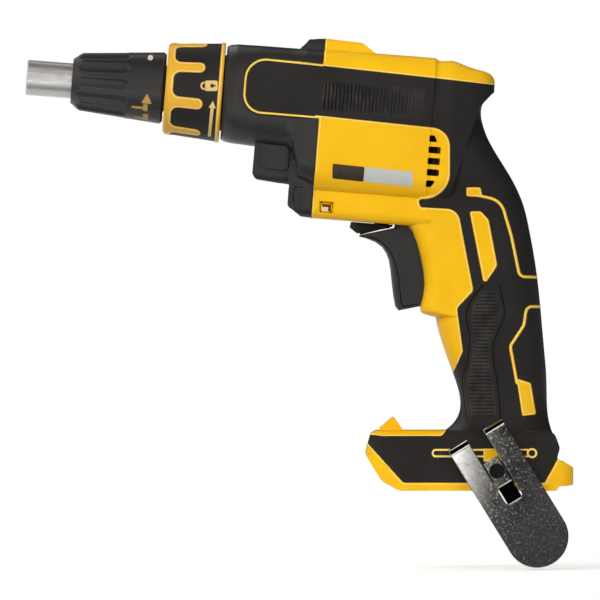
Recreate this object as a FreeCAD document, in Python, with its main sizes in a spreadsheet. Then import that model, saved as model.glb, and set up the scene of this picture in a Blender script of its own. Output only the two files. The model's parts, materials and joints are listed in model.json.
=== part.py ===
"""A cordless drywall screwdriver, as an assembly of separate pieces, in millimetres.

The frame: +Z up, -X towards the nose, -Y the tool's left side. The origin is the middle
of the battery foot, on its lower face. The barrel leans nose-up by barrel_tilt, so the
pieces on it are drawn in a barrel frame: u runs back along the spindle from the front of
the gear case, w runs up from the spindle's axis, and y is the same as in the main frame.
"""

import FreeCAD, Part
import math
import os
import Sketcher

V = FreeCAD.Vector
doc = FreeCAD.newDocument("drywall_screwdriver")
sheet = doc.addObject("Spreadsheet::Sheet", "Sizes")

# Driving dimensions, one row each: alias and value in millimetres, degrees or counts
SIZES = [
    # the barrel frame
    ("barrel_tilt", 4.5),
    ("barrel_x", -117.3),
    ("barrel_z", 188.6),
    # fits
    ("running_gap", 0.05),
    ("sliding_gap", 0.3),
    ("seat_gap", 0.1),
    # shells
    ("skin", 1.4),
    ("motor_wall", 4.0),
    ("gear_case_wall", 2.1),
    ("handle_wall", 4.0),
    # steel locator and its depth setter
    ("locator_front", -94.1),
    ("locator_length", 46.0),
    ("locator_radius", 8.35),
    ("mouth_radius", 6.0),
    ("mouth_length", 13.0),
    ("locator_bore", 6.6),
    ("depth_travel", 3.0),
    ("carrier_wall", 2.2),
    ("carrier_front", -65.5),
    ("sleeve_front", -72.3),
    ("sleeve_nose_radius", 10.6),
    ("sleeve_shoulder_radius", 13.8),
    ("sleeve_chamfer", 4.2),
    ("sleeve_back_radius", 17.0),
    ("flute_count", 12),
    ("flute_depth", 1.2),
    ("flute_length", 24.0),
    ("flute_cutter_radius", 3.9),
    # lock collar
    ("collar_front", -27.8),
    ("collar_length", 27.0),
    ("collar_front_radius", 21.7),
    ("collar_back_radius", 23.8),
    ("collar_lip", 5.3),
    ("collar_fingers", 8),
    ("finger_width", 5.4),
    ("finger_length", 18.2),
    ("finger_root_radius", 3.2),
    ("finger_phase", 16.5),
    ("collar_band", 2.0),
    ("collar_pad", 1.3),
    ("spigot_radius", 18.0),
    ("plug_radius", 13.3),
    # spindle, bit holder and clutch
    ("socket_radius", 7.5),
    ("socket_length", 32.0),
    ("socket_front", -16.0),
    ("hex_width", 6.35),
    ("hex_depth", 18.0),
    ("tail_radius", 4.0),
    ("bit_holder_front", -80.0),
    ("bit_holder_radius", 4.8),
    ("bit_socket_depth", 10.0),
    ("bush_radius", 10.5),
    ("bush_length", 12.0),
    ("jaw_radius", 14.0),
    ("jaw_thickness", 6.0),
    ("dog_height", 3.0),
    ("dog_count", 3),
    ("dog_angle", 40.0),
    ("dog_inner_radius", 10.4),
    ("clutch_travel", 2.5),
    ("spring_wire", 1.1),
    ("spring_radius", 8.0),
    ("spring_coils", 2.5),
    # gears
    ("gear_module", 0.8),
    ("gear_teeth", 50),
    ("pinion_teeth", 12),
    ("gear_front", 30.0),
    ("gear_width", 8.0),
    ("gear_hub_radius", 6.0),
    ("gear_tip_gap", 0.5),
    ("plate_front", 41.0),
    ("plate_thickness", 5.0),
    ("spindle_bearing_radius", 12.0),
    ("rotor_bearing_radius", 9.5),
    ("bearing_width", 5.0),
    # motor
    ("rotor_shaft_radius", 3.0),
    ("rotor_radius", 11.4),
    ("air_gap", 0.5),
    ("motor_radius", 20.0),
    ("stator_front", 54.0),
    ("stator_length", 34.0),
    ("winding_length", 3.5),
    ("stator_slots", 6),
    ("fan_radius", 17.0),
    ("fan_front", 95.0),
    ("fan_width", 7.5),
    ("fan_blades", 9),
    ("fan_hub_radius", 12.6),
    ("fan_gap", 0.3),
    ("rear_bearing_front", 104.0),
    # upper housing, in the barrel frame
    ("case_joint", 46.0),
    ("body_top", 24.2),
    ("body_bottom", -44.0),
    ("body_corner", 12.0),
    ("body_back", 127.8),
    ("ridge_half_width", 12.5),
    ("stripe_width", 1.4),
    ("chin_half_width", 19.0),
    ("chin_bottom", -56.0),
    ("guard_half_width", 17.6),
    ("vent_count", 5),
    ("vent_pitch", 5.35),
    ("vent_height", 3.1),
    ("vent_length", 5.7),
    ("vent_front", 98.8),
    ("vent_depth", 12.0),
    # trigger group
    ("trigger_half_width", 10.5),
    ("trigger_back", -21.5),
    ("trigger_travel", 6.0),
    ("switch_half_width", 9.5),
    ("lever_half_width", 6.0),
    ("lever_pivot_radius", 3.5),
    ("button_width", 5.2),
    ("button_height", 4.2),
    ("button_depth", 9.0),
    ("button_travel", 2.0),
    # foot and battery rails
    ("foot_half_width", 33.0),
    ("foot_top", 28.5),
    ("bay_height", 13.0),
    ("bay_half_width", 26.5),
    ("rail_height", 4.5),
    ("rail_half_gap", 22.0),
    ("bay_back", 36.0),
    ("board_height", 7.0),
    ("blade_count", 4),
    ("blade_pitch", 8.0),
    # belt clip
    ("clip_sheet", 1.5),
    ("clip_width", 29.6),
    ("clip_gap", 6.0),
    ("clip_angle", 31.5),
    ("clip_slot_width", 9.0),
    ("clip_arm_length", 41.0),
    ("clip_plate_length", 71.0),
    ("clip_screw_x", 11.9),
    ("clip_screw_z", 9.4),
    ("clip_screw_radius", 2.0),
    ("insert_radius", 3.2),
    ("insert_bore", 1.65),
    ("insert_length", 5.5),
    # housing screws
    ("screw_radius", 1.5),
    ("screw_head_radius", 3.2),
    ("screw_head_height", 2.4),
    ("screw_length", 20.0),
]
for row, (alias, value) in enumerate(SIZES, start=1):
    sheet.set("A%d" % row, alias)
    sheet.set("B%d" % row, str(value))
    sheet.setAlias("B%d" % row, alias)
doc.recompute()
ALIASES = set(alias for alias, value in SIZES)


def val(alias):
    """A driving dimension's value."""
    return float(sheet.get(alias))


def cell(alias):
    """A driving dimension's name inside an expression."""
    return "Sizes." + alias


def total(terms):
    """The number given by aliases and figures joined with + and -."""
    result, sign = 0.0, 1
    for word in terms.split():
        if word in "+-":
            sign = 1 if word == "+" else -1
        else:
            result += sign * (val(word) if word in ALIASES else float(word))
    return result


def bound(terms):
    """The same terms as an expression of sheet cells."""
    return " ".join(cell(word) if word in ALIASES else word for word in terms.split())


TILT = math.radians(val("barrel_tilt"))
GEAR_CENTRES = "Sizes.gear_module * (Sizes.gear_teeth + Sizes.pinion_teeth) / 2"
BARREL = FreeCAD.Placement(
    V(val("barrel_x"), 0, val("barrel_z")), FreeCAD.Rotation(V(0, 1, 0), val("barrel_tilt"))
)
PRESSURE_ANGLE = math.radians(25)
ADDENDUM = 0.9
DEDENDUM = 1.15
BACKLASH = 0.12
FAR = 150.0

motor_drop = val("gear_module") * (val("gear_teeth") + val("pinion_teeth")) / 2
gear_tip = val("gear_module") * (val("gear_teeth") / 2 + ADDENDUM)
chamber_radius = gear_tip + val("gear_tip_gap")
case_radius = chamber_radius + val("gear_case_wall")
body_half_width = val("motor_radius") + val("seat_gap") + val("motor_wall") + val("skin")
CHAMBER = "Sizes.gear_module * (Sizes.gear_teeth / 2 + %s) + Sizes.gear_tip_gap" % ADDENDUM
parts = []


# Helpers for placing and drawing


def on_barrel(obj, drop="0"):
    """Places an object drawn in the barrel frame, lowered by drop below the spindle's axis."""
    tilt = "Sizes.barrel_tilt * 1 deg"
    obj.Placement = FreeCAD.Placement(
        V(0, 0, 0), FreeCAD.Rotation(V(0, 1, 0), val("barrel_tilt"))
    )
    obj.setExpression("Placement.Rotation.Angle", tilt)
    obj.setExpression("Placement.Base.x", "Sizes.barrel_x - (%s) * sin(%s)" % (drop, tilt))
    obj.setExpression("Placement.Base.z", "Sizes.barrel_z - (%s) * cos(%s)" % (drop, tilt))


def turned(label, outline, drop="0"):
    """A piece turned on the barrel frame's u axis; outline is (u, radius) in terms of the sheet."""
    body = doc.addObject("PartDesign::Body", label)
    body.Label = label
    sketch = body.newObject("Sketcher::SketchObject", label + "_outline")
    plane = [f for f in body.Origin.OriginFeatures if f.Role == "XZ_Plane"][0]
    sketch.AttachmentSupport = (plane, [""])
    sketch.MapMode = "FlatFace"
    draw_polygon(sketch, outline)
    turn = body.newObject("PartDesign::Revolution", label + "_turn")
    turn.Profile = sketch
    turn.ReferenceAxis = (sketch, ["H_Axis"])
    turn.Angle = 360
    body.Tip = turn
    on_barrel(body, drop)
    return body


def draw_polygon(sketch, outline):
    """Draws a closed polygon whose corners are bound to (x, y) terms of the sheet."""
    points = [V(total(a), total(b), 0) for a, b in outline]
    count = len(points)
    for i, point in enumerate(points):
        sketch.addGeometry(Part.LineSegment(point, points[(i + 1) % count]), False)
    for i in range(count):
        sketch.addConstraint(Sketcher.Constraint("Coincident", i, 2, (i + 1) % count, 1))
    for i, corner in enumerate(outline):
        for kind, expression, at in zip(("DistanceX", "DistanceY"), corner, points[i]):
            index = sketch.addConstraint(Sketcher.Constraint(kind, -1, 1, i, 1, at))
            sketch.setExpression("Constraints[%d]" % index, bound(expression))


def keep(obj):
    """Counts a document object as one of the tool's pieces."""
    parts.append(obj)
    return obj


def feature(label, shape, placement=None):
    """A piece whose shape is worked out from the sheet by Part's own functions."""
    obj = doc.addObject("Part::Feature", label)
    obj.Label = label
    obj.Shape = shape
    if placement is not None:
        obj.Placement = placement.multiply(shape.Placement)
    return keep(obj)


def rounded_wire(corners, flat=lambda a, b: V(a, 0, b), closed=True):
    """A wire through (a, b, radius) corners, with tangent arcs of those radii."""
    points = [flat(c[0], c[1]) for c in corners]
    radii = [c[2] if len(c) > 2 else 0.0 for c in corners]
    count = len(points)
    spans = []
    for i in range(count):
        at = points[i]
        back = (points[i - 1] - at).normalize()
        ahead = (points[(i + 1) % count] - at).normalize()
        if radii[i] == 0:
            spans.append((at, None, at))
            continue
        half = back.getAngle(ahead) / 2
        reach = radii[i] / math.tan(half)
        middle = (back + ahead).normalize() * (radii[i] / math.sin(half) - radii[i])
        spans.append((at + back * reach, at + middle, at + ahead * reach))
    edges = []
    for i, (start, middle, end) in enumerate(spans):
        if middle is not None:
            edges.append(Part.Arc(start, middle, end).toShape())
        if i == count - 1 and not closed:
            break
        following = spans[(i + 1) % count][0]
        if end.distanceToPoint(following) > 1e-6:
            edges.append(Part.LineSegment(end, following).toShape())
    return Part.Wire(edges)


def side_face(corners):
    """A face in the XZ plane, or in a frame's own u and w."""
    return Part.Face(rounded_wire(corners))


def slab(face, half_width):
    """A side face pushed out to both sides of the middle plane."""
    moved = face.copy()
    moved.translate(V(0, -half_width, 0))
    return moved.extrude(V(0, 2 * half_width, 0))


def box_between(low, high):
    """An axis-aligned block between two corners."""
    size = V(*high) - V(*low)
    return Part.makeBox(size.x, size.y, size.z, V(*low))


def rod(radius, start, end, at=(0.0, 0.0)):
    """A cylinder along u, at (y, w)."""
    return Part.makeCylinder(radius, end - start, V(start, at[0], at[1]), V(1, 0, 0))


def cross_rod(radius, start, end, x, z):
    """A cylinder along y."""
    return Part.makeCylinder(radius, end - start, V(x, start, z), V(0, 1, 0))


def section_wire(at, low, high, half_width, corner, flat):
    """A rounded rectangle across a frame: low to high one way, half_width to each side."""
    corners = [
        (-half_width, low, corner),
        (half_width, low, corner),
        (half_width, high, corner),
        (-half_width, high, corner),
    ]
    return rounded_wire(corners, lambda a, b: flat(at, a, b))


def to_world(shape):
    """A barrel-frame shape in the main frame."""
    moved = shape.copy()
    moved.Placement = BARREL.multiply(moved.Placement)
    return moved


def joined(shapes):
    """Several solids as one, without the seams between them."""
    whole = shapes[0]
    for shape in shapes[1:]:
        whole = whole.fuse(shape)
    return whole.removeSplitter()


def inset(face, amount):
    """A side face shrunk by an even margin."""
    return face.makeOffset2D(-amount) if amount > 0 else face


# The outer forms of the housing, each shrunk by depth for the layers inside it


# Cross-sections of the barrel's rounded back: u, half width short of full, and top
BACK_SECTIONS = [
    (99.0, 0.0, 24.0), (106.0, 0.1, 23.5), (111.0, 0.3, 22.5), (115.5, 0.9, 21.1),
    (120.0, 2.0, 20.2), (124.0, 4.4, 19.3), (126.8, 8.0, 17.3), (127.8, 12.0, 13.6),
]


def upper_form(depth):
    """The barrel over the motor, with a rounded back that is undercut above the handle."""
    top, low, back = val("body_top"), val("body_bottom"), val("body_back")
    corner = val("body_corner") - depth
    level = lambda u, y, w: V(u, y, w)
    across = section_wire(0, low + depth, top - depth, body_half_width - depth, corner, level)
    tube = Part.Face(across).extrude(V(BACK_SECTIONS[0][0], 0, 0))
    wires = []
    for u, less, high in BACK_SECTIONS:
        half = body_half_width - less - depth
        shift = depth * (u > 120)
        wires.append(section_wire(u - shift, low + depth, high - depth, half, min(corner, half - 1), level))
    wires[0] = across.translated(V(BACK_SECTIONS[0][0], 0, 0))
    whole = tube.fuse(Part.makeLoft(wires, True, False)).removeSplitter()
    side = side_face([
        (-1, top + 5, 0), (back + 5, top + 5, 0), (back + 5, 12.0, 0), (back - 0.4, 10.0, 2.0),
        (back - 6.4, 2.6, 3.0), (back - 18.0, low, 0), (back - 18.0, low - 5, 0), (-1, low - 5, 0),
    ])
    return slab(inset(side, depth), FAR).common(whole)


def ridge_form(depth):
    """The raised ridge on top, which the gear case carries on at its front."""
    top = val("body_top")
    ridge = side_face([
        (31.5, 15, 0), (34.4, top - 1.0, 1.0), (38.6, 28.4, 2.5), (46, 29.4, 0),
        (63.7, 28.7, 3.0), (70.9, top - 0.3, 3.0), (82, top - 2, 0), (82, 15, 0),
    ])
    across = section_wire(
        0, 0, 29.6 - depth, val("ridge_half_width") - depth, 5.0 - depth, lambda u, y, w: V(u, y, w)
    )
    return slab(inset(ridge, depth), FAR).common(Part.Face(across).extrude(V(FAR, 0, 0)))


def chin_form(depth):
    """The narrower block under the motor, above the trigger."""
    low = val("chin_bottom")
    side = side_face([(30, -30, 0), (30, low, 0), (100, low, 0), (112, -60, 0), (112, -30, 0)])
    across = section_wire(
        0, low - 0.01 + depth, 0, val("chin_half_width") - depth, 5.0 - depth, lambda u, y, w: V(u, y, w)
    )
    return slab(inset(side, depth), FAR).common(Part.Face(across).extrude(V(FAR, 0, 0)))


# Level sections of the handle: height, front, back, half width and corner radius
HANDLE_SECTIONS = [
    (22.5, -26.0, 40.0, 28.0, 11.0),
    (29.0, -11.4, 37.9, 22.0, 12.5),
    (38.0, -5.3, 36.2, 17.4, 13.0),
    (52.0, -7.3, 35.8, 16.7, 13.0),
    (70.0, -13.8, 34.4, 17.3, 13.5),
    (88.0, -17.8, 32.8, 18.3, 14.0),
    (106.0, -20.0, 30.7, 18.9, 14.0),
    (124.0, -26.0, 27.5, 19.2, 14.0),
    (140.0, -34.5, 23.0, 21.0, 15.0),
    (152.0, -37.0, 16.6, 23.6, 16.0),
    (164.0, -38.0, 9.3, 24.8, 17.0),
    (173.0, -38.0, 5.6, 25.0, 17.0),
    (179.0, -38.0, 4.6, 25.0, 17.0),
    (183.0, -38.0, 5.4, 24.8, 17.0),
    (187.0, -38.0, 8.2, 24.2, 17.0),
]


def handle_form(depth):
    """The pistol grip, flaring into the foot and into the barrel."""
    wires = []
    for z, front, back, half, corner in HANDLE_SECTIONS:
        front, back = front + depth, back - depth
        half, corner = half - depth, corner - depth
        corners = [
            (front, -half, corner), (back, -half, corner), (back, half, corner), (front, half, corner)
        ]
        wires.append(rounded_wire(corners, lambda x, y, z=z: V(x, y, z)))
    return Part.makeLoft(wires, True, False)


# Level sections of the frame round the trigger: height, front and corner radius
GUARD_SECTIONS = [
    (81.8, -15.8, 13.5), (82.6, -19.0, 12.5), (83.5, -22.3, 11.0), (84.7, -24.0, 9.5), (86.9, -24.3, 8.0),
    (92.0, -23.0, 8.0), (97.2, -22.3, 8.0), (104.0, -22.8, 8.0), (110.3, -24.0, 8.0), (117.0, -25.7, 8.0),
    (122.7, -28.0, 8.0), (129.0, -33.0, 8.0),
]


def guard_form(depth):
    """The step in the handle's front that frames the trigger."""
    half = val("guard_half_width") - depth
    wires = []
    for z, front, corner in GUARD_SECTIONS:
        z = max(z, GUARD_SECTIONS[0][0] + depth)
        corner -= depth
        corners = [(front + depth, -half, corner), (0, -half), (0, half), (front + depth, half, corner)]
        wires.append(rounded_wire(corners, lambda x, y, z=z: V(x, y, z)))
    if depth > 0:
        rising = [w for w, above in zip(wires, wires[1:]) if above.BoundBox.ZMin > w.BoundBox.ZMin + 0.01]
        wires = rising + [wires[-1]]
    return Part.makeLoft(wires, True, True)


def foot_side():
    """The battery foot's outline, seen from the side."""
    top = val("foot_top")
    return side_face([
        (-42.6, 4.6, 6.0), (-50.4, 17.2, 4.5), (-47.2, top, 4.0), (38.8, top, 5.0), (41.8, 20.2, 4.0),
        (40.2, 14.6, 1.6),
        (44.4, 13.4, 1.5), (48.2, 11.0, 1.6), (48.2, 2.6, 1.0), (41.4, 2.0, 0.8), (40.0, 0, 0.8),
        (-34.5, 0, 6.0),
    ])


def foot_form(depth):
    """The battery foot, with rounded upper edges and corners."""
    half, top = val("foot_half_width") - depth, val("foot_top") - depth
    across = section_wire(-FAR / 2, -20, top, half, 5.0 - depth, lambda x, y, z: V(x, y, z))
    plan = rounded_wire([
        (-50.4 + depth, -half, 8.0 - depth), (48.2 - depth, -half, 8.0 - depth),
        (48.2 - depth, half, 8.0 - depth), (-50.4 + depth, half, 8.0 - depth),
    ], lambda x, y: V(x, y, -FAR / 2))
    block = Part.Face(across).extrude(V(FAR, 0, 0)).common(Part.Face(plan).extrude(V(0, 0, FAR)))
    return slab(inset(foot_side(), depth), FAR).common(block)


def latch_stop():
    """The stop for the battery's latch, standing on the front of the foot."""
    top = val("foot_top")
    return slab(side_face([
        (-43.4, top - 4, 0), (-43.4, top + 1.2, 1.0), (-36.9, top + 6.7, 1.0),
        (-32.2, top, 0.5), (-32.2, top - 4, 0),
    ]), 9.0)


# The gear case's form, from its round front to the joint with the housing


def case_form(depth):
    """The tapered gear case in the barrel frame, without its bosses."""
    r = case_radius
    stations = [
        (0, r - 1.3, r - 1.3, -(r - 1.3), r - 1.4),
        (1.6, r - 0.3, r - 0.3, -(r - 0.3), r - 1.2),
        (5, r + 0.2, r + 0.2, -(r + 0.2), r - 3.0),
        (16, r + 0.3, r + 0.3, -(r + 0.8), 16.0),
        (31, body_half_width - 1.4, r + 0.3, -(r + 1.4), 15.0),
        (34, body_half_width - 1.2, r + 0.3, -(r + 2.6), 14.0),
        (38, body_half_width - 0.9, r + 0.3, val("body_bottom") + 5, val("body_corner")),
        (val("case_joint"), body_half_width - 0.3, r + 0.2, val("body_bottom") + 2, val("body_corner") + 1),
    ]
    wires = [
        section_wire(u, low + depth, top - depth, half - depth, corner - depth, lambda a, y, w: V(a, y, w))
        for u, half, top, low, corner in stations
    ]
    return Part.makeLoft(wires, True, True)


def cheek_face(margin):
    """The housing's cheek over the gear case, in u and w."""
    return side_face([
        (9.4 - margin, -8.6 - margin, 9 + margin), (60, -8.9 - margin, 0), (60, 16.6 + margin, 0),
        (9.4 - margin, 17.6 + margin, 10 + margin),
    ])


def front_cut():
    """Everything ahead of the joint with the gear case, apart from the cheeks."""
    joint = val("case_joint")
    ahead = side_face([(-FAR, -FAR), (joint, -FAR), (joint, FAR), (-FAR, FAR)])
    return slab(ahead.cut(cheek_face(0)), FAR)


def body_form(depth):
    """The whole housing's outer form, shrunk by depth, in the main frame."""
    upper = joined([upper_form(depth), ridge_form(depth), chin_form(depth)]).cut(front_cut())
    return joined([to_world(upper), handle_form(depth), guard_form(depth), foot_form(depth)])


# Which places the black overmould covers, drawn on the side of the tool


def world_corners(corners):
    """Barrel-frame corners as main-frame ones."""
    result = []
    for corner in corners:
        at = BARREL.multVec(V(corner[0], 0, corner[1]))
        result.append((at.x, at.z) + tuple(corner[2:]))
    return result


def stripe_face(path, width):
    """A narrow band along an open line of (x, z, radius) corners."""
    line = rounded_wire(path, closed=False)
    return Part.Face(line.makeOffset2D(width / 2, 0, False, False, False))


def slot_face():
    """The slot along the foot's side, apart from the round at its back end."""
    whole = side_face([(-18.0, 18.95, 1.1), (26.0, 18.95, 0), (26.0, 16.65, 0), (-18.0, 16.65, 1.1)])
    return whole.cut(side_face([(5.5, 22, 0), (14.0, 22, 0), (14.0, 12, 0), (5.5, 12, 0)]))


def overmould_face():
    """The overmould's outline on the side of the housing, with its yellow inlays left out."""
    joint = val("case_joint")
    area = side_face(world_corners([(joint, -2 * FAR), (2 * FAR, -2 * FAR), (2 * FAR, FAR), (joint, FAR)]))
    cheek = cheek_face(-0.9)
    cheek.Placement = BARREL
    area = area.fuse(cheek).removeSplitter()
    top = side_face(world_corners([(40, 60), (40, 16.4), (127.2, 13.6), (150, 12.8), (150, 60)]))
    panel = side_face([
        (-74.0, 177.75, 0), (-10.2, 171.05, 9), (-10.2, 138.4, 12.4), (-25.4, 138.0, 1.4), (-24.0, 134.2, 1.2),
        (-6.4, 133.2, 6.5), (1.0, 94.6, 3), (-6.8, 86.4, 3), (-4.0, 66.0, 3), (-9.5, 53.5, 0),
        (-90.0, 53.5, 0), (-90.0, 140.0, 0),
    ])
    leaf = side_face([
        (-0.9, 132.3, 1.0), (4.5, 132.3, 2.5), (8.2, 128.3, 3), (12.3, 106.6, 3), (6.0, 97.1, 1.2),
    ])
    upper_block = side_face([
        (-2.4, 143.6, 0.8), (4.3, 143.6, 0.8), (5.4, 138.9, 0.8), (-2.4, 139.4, 0.8),
    ])
    upper_stripe = stripe_face([
        (3.0, 139.8), (14.0, 137.4, 9.0), (19.0, 120.4, 20.0), (22.9, 101.3, 3.2), (45.0, 100.6),
    ], val("stripe_width"))
    lower_stripe = stripe_face([
        (50.0, 87.1), (26.2, 87.1, 3.0), (24.9, 78.2, 5.0), (18.4, 68.4, 3.0), (21.6, 51.0),
    ], val("stripe_width"))
    lower_block = side_face([
        (21.4, 53.1, 0.8), (28.2, 50.9, 1.0), (30.7, 36.0, 0.8), (24.1, 35.3, 0.8),
    ])
    foot_base = side_face([
        (-80, 22.6), (-49.4, 22.6, 1), (-40.9, 13.3, 2), (-32.3, 3.8, 2), (34.5, 3.8, 0.5),
        (40.6, 14.9, 0), (70, 14.9), (70, -40), (-80, -40),
    ])
    foot_deck = side_face([
        (-80, 26.4), (-46.0, 26.4, 0), (-42.3, 25.9, 1), (-14.2, 25.9, 1.5), (-10.6, 30.2, 0),
        (-10.6, 40), (-80, 40),
    ])
    slot_border = side_face([
        (-18.9, 19.8, 1.9), (27.0, 19.8, 0), (27.0, 15.8, 0), (-18.9, 15.8, 1.9),
    ])
    slot_border = slot_border.cut(slot_face())
    slot_end = Part.Face(Part.Wire(Part.makeCircle(2.4, V(28.6, 0, 17.8), V(0, 1, 0))))
    slot_end = slot_end.cut(Part.Face(Part.Wire(Part.makeCircle(1.5, V(28.6, 0, 17.8), V(0, 1, 0)))))
    slot_block = side_face([(5.5, 20.0, 0.6), (14.0, 20.0, 0.6), (14.0, 13.7, 0.6), (5.5, 13.7, 0.6)])
    return area.cut([
        top, panel, leaf, upper_block, upper_stripe, lower_stripe, lower_block, foot_base, foot_deck,
        slot_border, slot_end, slot_block,
    ])


# Teeth


def gear_wire(teeth, module, phase, at):
    """A spur gear's outline across the barrel, with involute flanks; phase points at a tooth."""
    pitch = module * teeth / 2
    base = pitch * math.cos(PRESSURE_ANGLE)
    tip, root = pitch + ADDENDUM * module, pitch - DEDENDUM * module
    involute = lambda angle: math.tan(angle) - angle
    half_pitch = math.pi / (2 * teeth) - BACKLASH / (4 * pitch)
    half_base = half_pitch + involute(PRESSURE_ANGLE)
    steps = 4
    start = max(base, root)
    radii = [start + (tip - start) * i / steps for i in range(steps + 1)]
    flank = [(r, half_base - involute(math.acos(min(1.0, base / r)))) for r in radii]
    point = lambda r, angle: V(at, r * math.cos(angle), r * math.sin(angle))
    edges = []
    for tooth in range(int(teeth)):
        middle = phase + 2 * math.pi * tooth / teeth
        gap_end = middle + 2 * math.pi / teeth - half_base
        rising = [point(r, middle - a) for r, a in flank]
        falling = [point(r, middle + a) for r, a in reversed(flank)]
        foot_in, foot_out = point(root, middle - half_base), point(root, middle + half_base)
        edges.append(Part.LineSegment(foot_in, rising[0]).toShape())
        edges += [Part.LineSegment(p, q).toShape() for p, q in zip(rising, rising[1:])]
        edges.append(Part.LineSegment(rising[-1], falling[0]).toShape())
        edges += [Part.LineSegment(p, q).toShape() for p, q in zip(falling, falling[1:])]
        edges.append(Part.LineSegment(falling[-1], foot_out).toShape())
        edges.append(Part.LineSegment(foot_out, point(root, gap_end)).toShape())
    return Part.Wire(edges)


def dogs(start, height, turn):
    """The clutch's teeth: blocks of a ring, evenly spread."""
    ring = rod(val("jaw_radius"), start, start + height).cut(
        rod(val("dog_inner_radius"), start - 1, start + height + 1)
    )
    wedge_angle = val("dog_angle")
    whole = None
    for i in range(int(val("dog_count"))):
        wedge = Part.makeCylinder(40, height, V(start, 0, 0), V(1, 0, 0), wedge_angle)
        wedge.rotate(V(0, 0, 0), V(1, 0, 0), turn + i * 360 / val("dog_count"))
        block = ring.common(wedge)
        whole = block if whole is None else whole.fuse(block)
    return whole


def ring_of(shape, count, start=0.0):
    """Copies of a barrel-frame shape around the u axis, as a list."""
    copies = []
    for i in range(int(count)):
        copy = shape.copy()
        copy.rotate(V(0, 0, 0), V(1, 0, 0), start + i * 360 / count)
        copies.append(copy)
    return copies


def carved(label, blank, tool):
    """A piece cut out of another one with a tool shape in the main frame."""
    knife = doc.addObject("Part::Feature", label + "_tool")
    knife.Shape = tool
    cut = doc.addObject("Part::Cut", label)
    cut.Label = label
    cut.Base = blank
    cut.Tool = knife
    return keep(cut)


# The nose: locator, carrier, depth sleeve and lock collar

locator_end = "locator_front + locator_length"
mouth_end = "locator_front + mouth_length"
keep(turned("locator", [
    ("locator_front", "mouth_radius"), ("locator_front", "locator_radius - 0.6"),
    ("locator_front + 0.6", "locator_radius"), (locator_end, "locator_radius"),
    (locator_end, "locator_bore"), (mouth_end + " + 0.6", "locator_bore"), (mouth_end, "mouth_radius"),
]))
carrier_bore = "locator_radius + sliding_gap"
carrier_out = carrier_bore + " + carrier_wall"
spigot_front = "collar_front + collar_lip + 0.5"
keep(turned("nose_carrier", [
    ("carrier_front", carrier_bore), ("carrier_front", carrier_out),
    ("collar_front + 1.3", carrier_out), ("collar_front + 1.3", "spigot_radius - 1.8"),
    (spigot_front + " - seat_gap", "spigot_radius - 1.8"), (spigot_front + " - seat_gap", "plug_radius - seat_gap"),
    ("0 - 4.0", "plug_radius - seat_gap"), ("0 - 4.0", "plug_radius - 3.0"),
    ("0 - 20.0", "plug_radius - 3.0"), ("0 - 20.0", carrier_bore),
]))
sleeve_back = "collar_front - 0.7"
sleeve_wall = "carrier_front - 0.8"
sleeve_blank = turned("depth_sleeve_blank", [
    ("sleeve_front", carrier_bore), ("sleeve_front", "sleeve_nose_radius"),
    ("sleeve_front + sleeve_chamfer", "sleeve_shoulder_radius"), (sleeve_back + " - 1.2", "sleeve_back_radius"),
    (sleeve_back, "sleeve_back_radius - 1.0"), (sleeve_back, carrier_out + " + sliding_gap"),
    (sleeve_wall, carrier_out + " + sliding_gap"), (sleeve_wall, carrier_bore),
])
flute_r, flute_d = val("flute_cutter_radius"), val("flute_depth")
flute_back = val("sleeve_front") + val("flute_length")
slope = (val("sleeve_back_radius") - val("sleeve_shoulder_radius")) / (
    total(sleeve_back) - val("sleeve_front") - val("sleeve_chamfer")
)
flute_low = val("sleeve_shoulder_radius") - flute_d + flute_r
flute_front = val("sleeve_front") - 6
flute_reach = flute_back - flute_front
flute_half = Part.Face(Part.Wire([
    Part.LineSegment(V(0, 0, 0), V(0, 0, flute_r)).toShape(),
    Part.LineSegment(V(0, 0, flute_r), V(flute_reach, 0, flute_r)).toShape(),
    Part.Arc(
        V(flute_reach, 0, flute_r),
        V(flute_reach + flute_r * math.sqrt(0.5), 0, flute_r * math.sqrt(0.5)),
        V(flute_reach + flute_r, 0, 0),
    ).toShape(),
    Part.LineSegment(V(flute_reach + flute_r, 0, 0), V(0, 0, 0)).toShape(),
]))
flute = flute_half.revolve(V(0, 0, 0), V(1, 0, 0), 360)
flute.rotate(V(0, 0, 0), V(0, 1, 0), -math.degrees(math.atan(slope)))
flute.translate(V(flute_front, 0, flute_low - slope * (6 + val("sleeve_chamfer"))))
flutes = ring_of(flute, val("flute_count"))
carved("depth_sleeve", sleeve_blank, to_world(Part.makeCompound(flutes)))

collar_back = "collar_front + collar_length"
collar_blank = turned("lock_collar_blank", [
    ("collar_front", "spigot_radius - 1.3"), ("collar_front", "collar_front_radius - 1.2"),
    ("collar_front + 1.2", "collar_front_radius"), (collar_back + " - 0.5", "collar_back_radius"),
    (collar_back, "collar_back_radius - 0.5"), (collar_back, "spigot_radius + sliding_gap"),
    ("collar_front + collar_lip", "spigot_radius + sliding_gap"), ("collar_front + collar_lip", "spigot_radius - 1.3"),
])


def collar_cone(rise):
    """The collar's outer cone, moved in or out by rise, from its ring of fingers to its back band."""
    front, back = val("collar_front"), val("collar_front") + val("collar_length")
    grow = (val("collar_back_radius") - val("collar_front_radius")) / (val("collar_length") - 1.7)
    r_front = val("collar_front_radius") - grow * 1.2 + rise
    return Part.makeCone(
        r_front + grow * 3.6, r_front + grow * (val("collar_length") - val("collar_band")),
        val("collar_length") - val("collar_band") - 3.6, V(front + 3.6, 0, 0), V(1, 0, 0),
    )


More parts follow.
